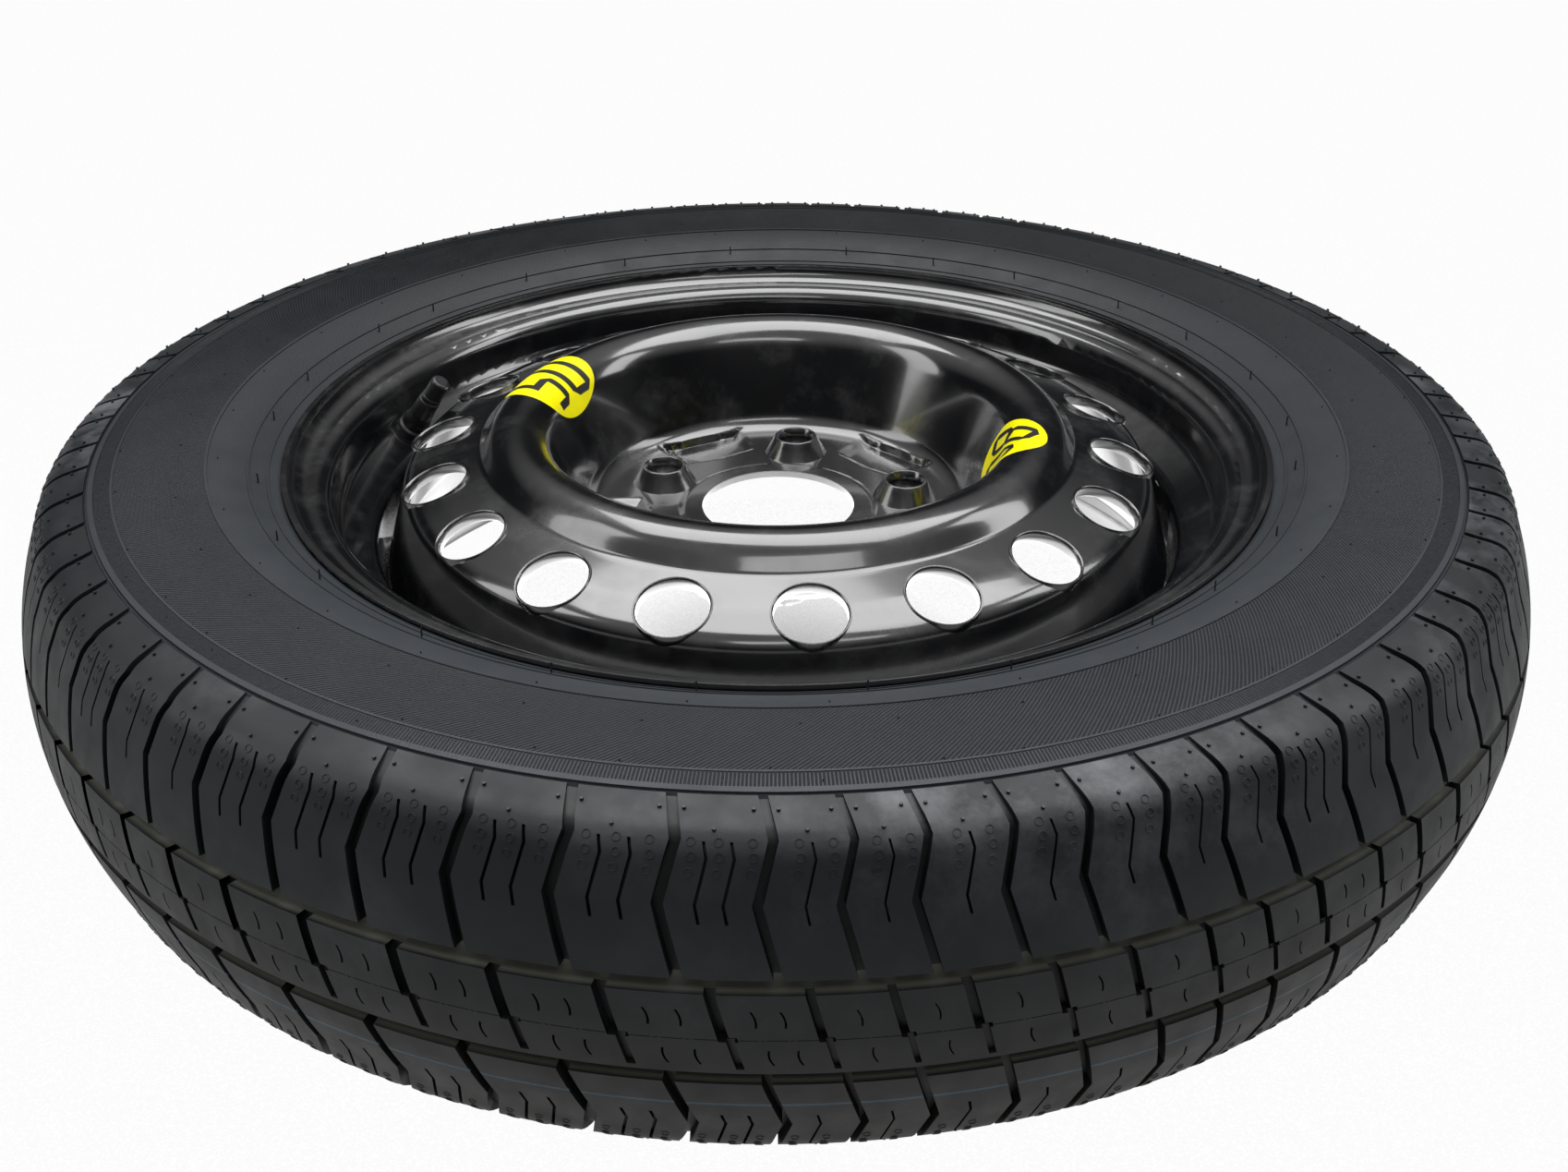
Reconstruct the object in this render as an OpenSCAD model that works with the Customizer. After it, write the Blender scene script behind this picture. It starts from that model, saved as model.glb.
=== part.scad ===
// Space saver spare wheel: a narrow temporary tyre on a pressed steel wheel, lying with its outboard face up.
// +Z is the wheel's axis, towards the outboard side. The origin is the centre of the hub mounting face.
// Profiles are drawn in the plane of the axis, as [distance from the axis, height, corner radius].

/* [Tyre] */
// Outside diameter of the tyre
tyre_d = 667; // [650:1:690]
// Width of the tyre where its sidewalls are widest
section_w = 145.6; // [138:0.1:152]
// Radius of the widest ring of the sidewalls
widest_r = 270.5; // [262:0.5:278]
// Drop of the shoulders' corner below the middle of the tread
shoulder_drop = 16; // [13:0.1:19]
// Height of the shoulders' corner over the middle of the tread
shoulder_z = 65.8; // [62:0.1:68]
// Rounding of the shoulders
shoulder_round = 16; // [8:0.5:20]
// Thickness of the tyre under the tread
crown_t = 12.5; // [10:0.1:16]
// Thickness of the sidewalls
wall_t = 6.5; // [4:0.1:9]
// Distance of the two straight grooves from the middle of the tread
groove_z = 19.2; // [14:0.1:26]
// Width of the two straight grooves
groove_w = 5.5; // [3:0.1:8]
// Depth of the two straight grooves
groove_depth = 5; // [3:0.1:7]

/* [Rim] */
// Diameter of the bead seats
bead_d = 405.6; // [404:0.1:407]
// Width between the flanges
rim_w = 101.6; // [92:0.1:112]
// Height of the flanges over the bead seats
flange_h = 17.3; // [15:0.1:19]
// Outer radius of the flanges' curl
curl_round = 10.3; // [8:0.1:12]
// Length of the flanges' lip past the curl
lip_l = 0.4; // [0.1:0.1:1.5]
// Thickness of the rim's sheet
rim_t = 2.6; // [2:0.1:3.2]
// Depth of the well under the bead seats
well_h = 17.3; // [15:0.1:19]
// Width of the bead seats
seat_w = 17.3; // [15:0.1:20]
// Taper of the bead seats, in degrees
seat_taper = 5; // [3:0.5:7]
// Height of the well's outboard edge over the rim's centre plane
well_top = 22.6; // [16:0.1:26]
// Depth of the well's inboard edge below the rim's centre plane
well_bottom = 15; // [12:0.1:20]

/* [Disc] */
// Distance of the hub mounting face from the rim's centre plane
hub_offset = 16.6; // [12:0.1:20]
// Thickness of the disc's sheet
disc_t = 3.2; // [2.6:0.1:3.6]
// Diameter of the centre bore
bore_d = 70.3; // [56:0.1:73]
// Outer radius of the raised ring round the bore
ring_r = 43; // [40:0.1:45]
// Height of the raised ring's sheet over the mounting face
ring_rise = 3.4; // [2.8:0.1:4.5]
// Height of the floor's sheet over the mounting face
floor_rise = 2.4; // [1.5:0.1:3.5]
// Radius of the hat's crest
crest_r = 117.5; // [114:0.5:120]
// Height of the hat's crest over the mounting face
crest_h = 53.9; // [48:0.1:58]
// Rounding of the hat's crest
crest_round = 16; // [13:0.5:17]
// Steepness of the hat's inner wall, in degrees
hat_wall = 68; // [62:1:74]
// Steepness of the hat's outer wall, in degrees
hat_outer_wall = 51; // [44:1:58]
// Height of the crease between the hat and the vent band, over the mounting face
crease_h = 42.6; // [40:0.1:44]
// Radius of the vent band's bend
band_r = 154; // [151:0.1:156]
// Height of the vent band's bend over the mounting face
band_h = 37.6; // [36:0.1:39]
// Radius of the disc's outer shoulder
edge_r = 166.8; // [164:0.1:170]
// Height of the disc's outer shoulder over the mounting face
edge_h = 32.3; // [30:0.1:34]
// Depth of the skirt's end below the rim's centre plane
skirt_end = 6; // [3:0.1:10]
// Height of the skirt that fits in the rim's well
skirt_h = 14; // [10:0.1:18]

/* [Vent holes] */
// Number of vent holes
vent_count = 18; // [12:1:20]
// Radius of the circle of vent holes
vent_r = 155.5; // [153:0.1:157]
// Diameter of the vent holes at their throat
vent_d = 28; // [20:0.1:30]
// Tilt of the vent holes' axes, in degrees
vent_tilt = 20; // [14:0.5:26]
// Turn of the first vent hole from +X, in degrees
vent_turn = -85.4; // [-95:0.1:-76]

/* [Bolt holes and pads] */
// Number of bolt holes
bolt_count = 5; // [4:1:6]
// Diameter of the bolt circle
bolt_circle = 120.65; // [112:0.05:124]
// Diameter of the bolt holes
bolt_d = 14.4; // [12.5:0.1:15.5]
// Height of the bolt holes' cones over the mounting face
boss_h = 14.4; // [12:0.1:16]
// Radius of the cones at their foot
boss_r = 13.5; // [12.5:0.1:14.5]
// Radius of the cones at their top
boss_top_r = 10; // [9.6:0.1:10.5]
// Radius of the nut seats at their mouth
seat_r = 9.2; // [8.2:0.1:9.4]
// Depth of the nut seats
seat_depth = 3.5; // [2.5:0.1:4.5]
// Turn of the first bolt hole from +X, in degrees
bolt_turn = 81.7; // [70:0.1:95]
// Radius of the pressed pads' centres
pad_r = 78; // [75:0.5:80]
// Length of the pressed pads along the radius
pad_l = 27; // [22:0.5:30]
// Width of the pressed pads
pad_w = 38; // [30:0.5:40]

/* [Welds] */
// Number of welds between disc and rim
weld_count = 6; // [4:1:8]
// Angle that each weld covers, in degrees
weld_span = 34; // [20:1:40]
// Leg of the welds' fillet
weld_leg = 3; // [2:0.1:3.2]

/* [Valve] */
// Turn of the valve from +X, in degrees
valve_turn = 159.2; // [150:0.1:170]
// Place of the valve along the rim's slope, from its lower edge
valve_place = 0.62; // [0.5:0.01:0.7]
// Diameter of the valve hole
valve_hole_d = 11.5; // [11:0.1:12]
// Length of the valve outside the rim, without its cap
valve_l = 34; // [31:0.5:38]
// Radius of the rubber body's foot
foot_r = 7.8; // [7:0.1:8.5]
// Radius of the rubber body's bulb inside the rim
bulb_r = 9.5; // [8.5:0.1:10]
// Radius of the brass stem's threaded end
stem_r = 3.85; // [3.6:0.05:4]
// Length of the cap
cap_l = 13; // [11:0.5:15]
// Radius of the cap
cap_r = 4.9; // [4.7:0.05:5.3]
// Running clearance between the cap and the stem
cap_gap = 0.1; // [0.02:0.01:0.1]
// Radius of the valve core's pin
pin_r = 0.55; // [0.4:0.05:0.6]
// Running clearance round the pin
pin_gap = 0.08; // [0.03:0.01:0.1]
// Travel of the pin
pin_travel = 1.2; // [0.8:0.1:1.5]

/* [Decals] */
// Thickness of the decals
decal_t = 0.2; // [0.1:0.05:0.3]
// Thickness of the glue under the decals
glue_t = 0.03; // [0.02:0.01:0.05]
// Half the decals' width
decal_half = 23; // [18:0.5:24]
// Turn of the first decal from +X, in degrees
decal_50_turn = 159; // [150:0.5:165]
// Turn of the second decal from +X, in degrees
decal_80_turn = -10; // [-20:0.5:0]

/* [Hidden] */
$fn = 96;

black_paint = "#17181a";
black_rubber = "#1d1e20";
brass = "#b5984f";
decal_yellow = "#f2f200";

// Length by which a cutter passes the face that it cuts
past = 0.5;

tyre_r = tyre_d / 2;
bead_r = bead_d / 2;
flange_r = bead_r + flange_h;
bore_r = bore_d / 2;
vent_hole_r = vent_d / 2;
bolt_hole_r = bolt_d / 2;
half_rim = rim_w / 2;
half_sheet = rim_t / 2;

// The corner at b, rounded with radius r: [start of the arc, its centre, end of the arc]
function unit(v) = v / norm(v);
function corner(a, b, c, r) =
    let (u = unit(a - b), v = unit(c - b), half = acos(u * v) / 2, reach = r / tan(half))
    [b + u * reach, b + unit(u + v) * r / sin(half), b + v * reach];
function turn(a, b, c) = sign(cross(b - a, c - b));
function flat(p) = [for (q = p) [q[0], q[1]]];
function area(p) = let (n = len(p)) [for (i = 0, s = 0; i <= n; s = s + (i < n ? cross(p[i], p[(i + 1) % n]) : 0),
    i = i + 1) s][n];

// A closed outline whose corners are rounded by true arcs. Each cutter passes a full corner a little. A hollow corner
// is first cut across from end to end of its arc, and then hollowed out to the arc.
function beyond(q, arc) = q + (q - (arc[0] + arc[2]) / 2) / 2;
module rounded(p) {
    n = len(p);
    q = flat(p);
    way = sign(area(q));
    bends = [for (i = [0 : n - 1]) p[i][2] > 0 ? turn(q[(i + n - 1) % n], q[i], q[(i + 1) % n]) * way : 0];
    arcs = [for (i = [0 : n - 1]) bends[i] == 0 ? [] : corner(q[(i + n - 1) % n], q[i], q[(i + 1) % n], p[i][2])];
    difference() {
        polygon([for (i = [0 : n - 1]) each bends[i] < 0 ? [arcs[i][0], arcs[i][2]] : [q[i]]]);
        for (i = [0 : n - 1]) if (bends[i] > 0) difference() {
            polygon([arcs[i][0], beyond(q[i], arcs[i]), arcs[i][2]]);
            translate(arcs[i][1]) circle(p[i][2]);
        }
        for (i = [0 : n - 1]) if (bends[i] < 0) intersection() {
            polygon([arcs[i][0], q[i], arcs[i][2], arcs[i][1]]);
            translate(arcs[i][1]) circle(p[i][2]);
        }
    }
}

// The open line p, moved by d to its left, with its arcs kept on their centres
function left(v) = [-v[1], v[0]];
function side_point(p, i, d) =
    let (b = [p[i][0], p[i][1]], last = len(p) - 1,
        n1 = left(unit(i > 0 ? b - [p[i - 1][0], p[i - 1][1]] : [p[1][0], p[1][1]] - b)),
        n2 = left(unit(i < last ? [p[i + 1][0], p[i + 1][1]] - b : b - [p[i - 1][0], p[i - 1][1]])),
        move = (n1 + n2) * d / (1 + n1 * n2),
        bend = i > 0 && i < last ? sign(cross(n1, n2)) : 0)
    [b[0] + move[0], b[1] + move[1], p[i][2] > 0 ? p[i][2] - bend * d : 0];
function side(p, d) = [for (i = [0 : len(p) - 1]) side_point(p, i, d)];
function backwards(p) = [for (i = [len(p) - 1 : -1 : 0]) p[i]];

// Sheet that follows the open line p, from d0 to d1 on its left
module sheet(p, d0, d1) rounded(concat(side(p, d1), backwards(side(p, d0))));

function mirrored(p) = [for (q = backwards(p)) [q[0], -q[1], q[2]]];

module at_rim_centre() translate([0, 0, -hub_offset]) children();
module round_axis(count, first) for (i = [0 : count - 1]) rotate([0, 0, first + i * 360 / count]) children();

// Tyre: one moulded piece, open towards the rim
half_section = section_w / 2;
crown_corner = shoulder_z * 0.36;
crown_round = crown_corner / tan(atan(shoulder_drop / (shoulder_z - crown_corner)) / 2);
// Gap between the bead and the flange's curl, which keeps the two from cutting into each other
bead_gap = 0.1;
lip_foot = half_rim + curl_round - 1.6;
bead_toe = half_rim - seat_w + 0.5;
toe_r = bead_r - (half_rim - bead_toe) * tan(seat_taper);

half_tyre = [
    [tyre_r, crown_corner, crown_round],
    [tyre_r - shoulder_drop, shoulder_z, shoulder_round],
    [widest_r + 15.5, half_section, 90],
    [widest_r - 26, half_section, 60],
    [flange_r + bead_gap, lip_foot, 1],
    [flange_r + bead_gap, half_rim - bead_gap, curl_round - 3],
    [bead_r + bead_gap, half_rim - bead_gap, 6.5],
    [toe_r + bead_gap, bead_toe, 1],
    [bead_r + 8, bead_toe + 3, 12],
    [widest_r - 24, half_section - wall_t, 60],
    [widest_r + 16, half_section - wall_t, 60],
    [tyre_r - crown_t - 9, shoulder_z - 14, 14],
    [tyre_r - crown_t, crown_corner, crown_round - crown_t]
];

module tyre_section() difference() {
    rounded(concat(mirrored(half_tyre), half_tyre));
    for (side = [-1, 1]) translate([tyre_r - groove_depth - 1, side * groove_z - groove_w / 2])
        square([groove_depth + 1 + past, groove_w]);
}

module tyre() color(black_rubber) at_rim_centre() rotate_extrude() tyre_section();

// Rim: a hoop of sheet, rolled to flanges, bead seats and a well
slope_top = half_rim - seat_w;
slope_top_r = bead_r - seat_w * tan(seat_taper) - half_sheet;
well_r = bead_r - well_h - half_sheet;
seat_corner_r = bead_r - half_sheet;
rim_line = [
    [flange_r - half_sheet, half_rim + curl_round + lip_l, 0],
    [flange_r - half_sheet, half_rim + half_sheet, curl_round - half_sheet],
    [seat_corner_r, half_rim + half_sheet, 6.3],
    [slope_top_r, slope_top, 8],
    [well_r, well_top, 6],
    [well_r, -well_bottom, 6],
    [slope_top_r, -slope_top, 8],
    [seat_corner_r, -half_rim - half_sheet, 6.3],
    [flange_r - half_sheet, -half_rim - half_sheet, curl_round - half_sheet],
    [flange_r - half_sheet, -half_rim - curl_round - lip_l, 0]
];

// The valve stands square on the well's outboard slope
slope_run = [slope_top_r - well_r, slope_top - well_top];
slope_angle = atan2(slope_run[1], slope_run[0]);
valve_seat = [well_r, well_top] + slope_run * valve_place;
module at_valve() at_rim_centre() rotate([0, 0, valve_turn]) translate([valve_seat[0], 0, valve_seat[1]])
    rotate([0, -slope_angle, 0]) translate([0, 0, half_sheet]) children();

module rim() color(black_paint) difference() {
    at_rim_centre() rotate_extrude() sheet(rim_line, -half_sheet, half_sheet);
    at_valve() translate([0, 0, -rim_t - 4]) cylinder(d = valve_hole_d, h = rim_t + 8);
}

// Disc: one pressing, from the bore over the pads, the hat and the vent band to the skirt in the rim's well
half_disc = disc_t / 2;
line_round = crest_round - half_disc;
crest_line_h = crest_h - half_disc;
wall_run = (crest_line_h - floor_rise - half_disc) / tan(hat_wall);
inner_corner = crest_r - line_round * tan(hat_wall / 2);
outer_corner = crest_r + line_round * tan(hat_outer_wall / 2);
crease_r = outer_corner + (crest_h - crease_h) / tan(hat_outer_wall);
skirt_r = well_r - half_sheet - half_disc;
skirt_low = -hub_offset - skirt_end;
disc_line = [
    [bore_r, ring_rise + half_disc, 0],
    [ring_r, ring_rise + half_disc, 2.5],
    [ring_r + 3, floor_rise + half_disc, 2.5],
    [inner_corner - wall_run, floor_rise + half_disc, 12],
    [inner_corner, crest_line_h, line_round],
    [outer_corner, crest_line_h, line_round],
    [crease_r, crease_h - half_disc, 6],
    [band_r, band_h - half_disc, 40],
    [edge_r, edge_h - half_disc, 9],
    [skirt_r, skirt_low + skirt_h, 10],
    [skirt_r, skirt_low, 0]
];

// Everything under the disc's upper surface between the ring and the crest
module under_hat() rotate_extrude() difference() {
    translate([ring_r + 4, 0]) square([crest_r - ring_r - 4, crest_h]);
    sheet(disc_line, half_disc, half_disc + crest_h);
}

// A pressed pad's form: its flat bottom at height z, with sides that spread upwards. It is narrower towards the bore,
// and its two ends are bowed out.
pad_depth = 12;
pad_spread = 1.7;
pad_narrowing = 1.5;
pad_bow_in = 2;
pad_bow_out = 1.5;
module pad_form(z, grow) translate([pad_r, 0, z]) linear_extrude(height = pad_depth, scale = pad_spread, slices = 1)
    polygon([[-pad_l / 2 - grow, -pad_w / 2 + pad_narrowing - grow], [-pad_l / 2 - pad_bow_in - grow, 0],
        [-pad_l / 2 - grow, pad_w / 2 - pad_narrowing + grow], [pad_l / 2 + grow, pad_w / 2 + grow],
        [pad_l / 2 + pad_bow_out + grow, 0], [pad_l / 2 + grow, -pad_w / 2 - grow]]);

// A bolt hole's cone, solid down to the mounting face, and the hole with its nut seat
boss_foot = 1.6;
boss_edge = 0.3;
module boss() translate([bolt_circle / 2, 0, 0]) rotate_extrude()
    polygon([[0, 0], [boss_r, 0], [boss_r + boss_foot, floor_rise], [boss_top_r, boss_h - boss_edge],
        [boss_top_r - boss_edge, boss_h], [0, boss_h]]);
module boss_bore() translate([bolt_circle / 2, 0, 0]) rotate_extrude()
    polygon([[0, -past], [bolt_hole_r, -past], [bolt_hole_r, boss_h - seat_depth], [seat_r, boss_h],
        [seat_r, boss_h + past], [0, boss_h + past]]);

// A vent hole, square on the band
vent_z = band_h - (vent_r - band_r) * (band_h - edge_h) / (edge_r - band_r);
module at_vent() translate([vent_r, 0, vent_z]) rotate([0, vent_tilt, 0]) children();
vent_clear = 5;
module vent_bore() at_vent() translate([0, 0, -disc_t - vent_clear])
    cylinder(r = vent_hole_r, h = disc_t + 2 * vent_clear);

module disc() color(black_paint) difference() {
    union() {
        rotate([0, 0, vent_turn + 180 / vent_count]) rotate_extrude() sheet(disc_line, -half_disc, half_disc);
        intersection() {
            round_axis(bolt_count, bolt_turn + 180 / bolt_count) pad_form(0, half_disc);
            under_hat();
        }
        round_axis(bolt_count, bolt_turn) boss();
    }
    round_axis(bolt_count, bolt_turn + 180 / bolt_count) pad_form(disc_t, 0);
    round_axis(bolt_count, bolt_turn) boss_bore();
    round_axis(vent_count, vent_turn) vent_bore();
}

// Welds: fillets under the skirt's end, against the rim's well
module disc_welds() color(black_paint) round_axis(weld_count, valve_turn + 180 / weld_count)
    rotate([0, 0, -weld_span / 2]) rotate_extrude(angle = weld_span)
    polygon([[skirt_r + half_disc, skirt_low], [skirt_r + half_disc - weld_leg, skirt_low],
        [skirt_r + half_disc, skirt_low - weld_leg]]);

// Valve: a brass stem in a rubber body that snaps into the rim
stem_start = valve_l - cap_l + 1;
bulb_l = 7;
seal_floor = 13;
core_top = valve_l - 1.2;
plug_l = 4.8;
plug_r = 2.65;
core_bore_r = 2;
tail_l = 5;
tail_r = 1.2;
tail_end = core_top - plug_l - tail_l;
stem_bottom = -rim_t - bulb_l - 1;
rubber_stem_r = 3.1;

neck_r = valve_hole_d / 2 + 0.4;
bulb_step = 3;
collar_top = 3.2;
waist_r = 5.6;
body_top_r = 5.2;
module valve_rubber() at_valve() rotate_extrude() difference() {
    rounded([[0, stem_bottom + 1, 0], [bulb_r - bulb_step, stem_bottom + 1, 1], [bulb_r, -rim_t - bulb_step, 1.5],
        [bulb_r, -half_sheet, 0], [foot_r, -half_sheet, 0], [foot_r, collar_top, 1.2],
        [neck_r + 0.3, collar_top + 1.2, 0.6], [neck_r + 0.3, 8, 1], [waist_r, 12, 2],
        [body_top_r, stem_start, 0.6], [0, stem_start, 0]]);
    translate([-1, stem_bottom]) square([1 + rubber_stem_r, stem_start - stem_bottom + 1]);
}

// The rubber fills the valve hole and bears on the rim's sheet from both sides
module valve_body() color(black_rubber) difference() {
    valve_rubber();
    rim();
}

module valve_stem() color(brass) at_valve() rotate_extrude() difference() {
    union() {
        translate([0, stem_bottom]) square([rubber_stem_r, stem_start - stem_bottom]);
        rounded([[0, stem_start, 0], [stem_r, stem_start, 0], [stem_r, valve_l, 0.4], [0, valve_l, 0]]);
    }
    translate([-1, stem_bottom - 1]) square([1 + core_bore_r - 0.6, valve_l + 20]);
    translate([-1, seal_floor]) square([1 + core_bore_r, valve_l]);
    translate([-1, core_top - plug_l]) square([1 + plug_r, plug_l + 3]);
}

module core_body() color(brass) at_valve() rotate_extrude() difference() {
    union() {
        translate([0, core_top - plug_l]) square([plug_r, plug_l]);
        translate([0, tail_end]) square([tail_r, tail_l + 1]);
    }
    translate([-1, tail_end - 1]) square([1 + pin_r + pin_gap, tail_l + plug_l + 3]);
}

module core_gasket() color(black_rubber) at_valve() rotate_extrude()
    translate([tail_r, tail_end + 1]) square([core_bore_r - tail_r, tail_l - 1]);

// The pin and its seal move together when the pin is pressed
seal_gap = 0.02;
seal_l = 1.8;
module core_pin() color(brass) at_valve() rotate_extrude()
    rounded([[0, seal_floor + pin_travel + 0.6, 0], [pin_r, seal_floor + pin_travel + 0.6, 0],
        [pin_r, core_top - 0.2, 0.3], [0, core_top - 0.2, 0]]);
module core_seal() color(black_rubber) at_valve() rotate_extrude()
    translate([pin_r, tail_end - seal_gap - seal_l]) square([core_bore_r - 0.3 - pin_r, seal_l]);

// The spring that holds the seal shut, coiled round the pin
wire_r = 0.2;
coil_r = 1.3;
coil_turns = 4;
coil_sides = 8;
coil_steps = 14;
spring_low = seal_floor + wire_r;
spring_top = tail_end - seal_gap - seal_l - wire_r;
function coil_point(s) = let (a = s * 360 / coil_steps)
    [coil_r * cos(a), coil_r * sin(a), spring_low + (spring_top - spring_low) * s / (coil_steps * coil_turns)];
module core_spring() color("silver") at_valve() {
    rings = coil_steps * coil_turns;
    points = [for (s = [0 : rings]) let (c = coil_point(s), a = s * 360 / coil_steps)
        for (k = [0 : coil_sides - 1]) let (b = k * 360 / coil_sides)
            c + wire_r * [cos(b) * cos(a), cos(b) * sin(a), sin(b)]];
    walls = [for (s = [0 : rings - 1], k = [0 : coil_sides - 1]) let (m = (k + 1) % coil_sides)
        [s * coil_sides + k, s * coil_sides + m, (s + 1) * coil_sides + m, (s + 1) * coil_sides + k]];
    ends = [[for (k = [coil_sides - 1 : -1 : 0]) k], [for (k = [0 : coil_sides - 1]) rings * coil_sides + k]];
    polyhedron(points, concat(walls, ends), convexity = 6);
}

module valve_cap() color(black_rubber) at_valve() rotate_extrude() difference() {
    rounded([[0, stem_start + 0.3, 0], [cap_r, stem_start + 0.3, 0.4], [cap_r, stem_start + 2.4, 0],
        [cap_r - 0.4, stem_start + 2.8, 0], [cap_r - 0.4, stem_start + cap_l, 1.5], [0, stem_start + cap_l, 0]]);
    translate([-1, stem_start]) square([1 + stem_r + cap_gap, valve_l - stem_start + 0.4]);
}

// Decals: thin patches that follow the hat over its crest
decal_in = 17.4;
decal_out = 14.5;
decal_base = crest_h - 17;
decal_corner = 5;
decal_end = decal_half * 0.65;
module decal(turn) color(decal_yellow) intersection() {
    rotate([0, 0, turn]) translate([0, 0, decal_base]) linear_extrude(height = crest_h)
        translate([crest_r, 0]) polygon([[-decal_in, -decal_end], [-decal_in + decal_corner, -decal_half],
            [decal_out - decal_corner, -decal_half], [decal_out, -decal_end], [decal_out, decal_end],
            [decal_out - decal_corner, decal_half], [-decal_in + decal_corner, decal_half], [-decal_in, decal_end]]);
    rotate_extrude() intersection() {
        sheet(disc_line, half_disc + glue_t, half_disc + glue_t + decal_t);
        translate([crest_r - decal_in - past, decal_base]) square([decal_in + decal_out + 2 * past, crest_h]);
    }
}
module decal_50() decal(decal_50_turn);
module decal_80() decal(decal_80_turn);

tyre();
rim();
disc();
disc_welds();
valve_body();
valve_stem();
core_body();
core_gasket();
core_spring();
core_pin();
core_seal();
valve_cap();
decal_50();
decal_80();
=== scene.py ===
import math
import random
import bmesh
import bpy
from mathutils import Matrix, Vector


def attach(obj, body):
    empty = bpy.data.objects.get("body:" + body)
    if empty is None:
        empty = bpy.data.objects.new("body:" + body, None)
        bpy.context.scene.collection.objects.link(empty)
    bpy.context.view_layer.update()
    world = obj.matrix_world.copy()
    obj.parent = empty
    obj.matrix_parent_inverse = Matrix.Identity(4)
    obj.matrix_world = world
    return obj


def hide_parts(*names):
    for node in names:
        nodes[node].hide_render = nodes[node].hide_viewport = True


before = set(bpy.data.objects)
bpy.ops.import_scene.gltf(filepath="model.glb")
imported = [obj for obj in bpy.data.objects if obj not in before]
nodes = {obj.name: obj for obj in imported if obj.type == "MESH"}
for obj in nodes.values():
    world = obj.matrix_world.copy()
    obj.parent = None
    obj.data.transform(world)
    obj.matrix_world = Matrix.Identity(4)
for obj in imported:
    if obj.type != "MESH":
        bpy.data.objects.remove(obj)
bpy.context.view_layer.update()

# Tyre casing: the sidewalls and beads of one moulded rubber tyre, in satin black rubber. Its outboard
# wall has a ribbed ring under the tread's edge, a finely hatched zone, raised rings and a plain smooth
# zone down to the rim.
MM = 0.001
MID = -16.6
TYRE_R = 333.5
SHOULDER_R = 317.5
SHOULDER_Z = 65.8


def colour(code):
    parts = [int(code[i:i + 2], 16) / 255 for i in (1, 3, 5)]
    return tuple(c / 12.92 if c <= 0.04045 else ((c + 0.055) / 1.055) ** 2.4 for c in parts) + (1,)


def material(name, **values):
    made = bpy.data.materials.new(name)
    made.use_nodes = True
    shader = made.node_tree.nodes["Principled BSDF"]
    for key, value in values.items():
        shader.inputs[key.replace("_", " ")].default_value = value
    return made, made.node_tree, shader


def add(tree, kind, inputs=None, **settings):
    node = tree.nodes.new(kind)
    for key, value in settings.items():
        setattr(node, key, value)
    for key, value in (inputs or {}).items():
        if isinstance(value, bpy.types.Node):
            value = value.outputs[0]
        if isinstance(value, bpy.types.NodeSocket):
            tree.links.new(value, node.inputs[key])
        else:
            node.inputs[key].default_value = value
    return node


def arc(a, b, c, radius, steps):
    a, b, c = (Vector(p) for p in (a, b, c))
    u = (a - b).normalized()
    v = (c - b).normalized()
    half = math.acos(u.dot(v)) / 2
    centre = b + (u + v).normalized() * radius / math.sin(half)
    first = b + u * radius / math.tan(half) - centre
    last = b + v * radius / math.tan(half) - centre
    turn = first.angle_signed(last)
    return [centre + Matrix.Rotation(-turn * i / steps, 2) @ first for i in range(steps + 1)]


def rounded_line(points, steps=10):
    line = [Vector(points[0][:2])]
    for a, b, c in zip(points, points[1:], points[2:]):
        line += arc(a[:2], b[:2], c[:2], b[2], steps) if b[2] else [Vector(b[:2])]
    line.append(Vector(points[-1][:2]))
    return [p for i, p in enumerate(line) if i == 0 or (p - line[i - 1]).length > 1e-5]


def mesh_object(name, points, faces, smooth_under=35):
    data = bpy.data.meshes.new(name)
    data.from_pydata(points, [], faces)
    data.validate()
    data.shade_smooth()
    data.set_sharp_from_angle(angle=math.radians(smooth_under))
    made = bpy.data.objects.new(name, data)
    bpy.context.scene.collection.objects.link(made)
    return made


def revolve(name, line, sides, closed=False, height=0.0, smooth_under=35):
    points = []
    faces = []
    n = len(line)
    for k in range(sides):
        angle = 2 * math.pi * k / sides
        points += [
            (p[0] * MM * math.cos(angle), p[0] * MM * math.sin(angle), (p[1] + height) * MM)
            for p in line
        ]
        j = (k + 1) % sides
        faces += [
            (k * n + i, j * n + i, j * n + (i + 1) % n, k * n + (i + 1) % n)
            for i in range(n if closed else n - 1)
        ]
    return mesh_object(name, points, faces, smooth_under)


def finish_piece(obj, body, slot, made, *stands_for):
    obj.data.materials.clear()
    obj.data.materials.append(made)
    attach(obj, body)
    if stands_for:
        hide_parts(*stands_for)


crown_z = SHOULDER_Z * 0.36
crown_round = crown_z / math.tan(math.atan((TYRE_R - SHOULDER_R) / (SHOULDER_Z - crown_z)) / 2)
outer = rounded_line(
    [
        (TYRE_R, 0), (TYRE_R, crown_z, crown_round), (SHOULDER_R, SHOULDER_Z, 16), (286, 72.8, 90),
        (244.5, 72.8, 60), (220.2, 59.5),
    ],
    16,
)


def outer_height(radius):
    wall = sorted((p[0], p[1]) for p in outer[8:])
    for a, b in zip(wall, wall[1:]):
        if a[0] <= radius <= b[0]:
            return a[1] + (b[1] - a[1]) * (radius - a[0]) / max(b[0] - a[0], 1e-6)
    return max(p[1] for p in outer)


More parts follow.
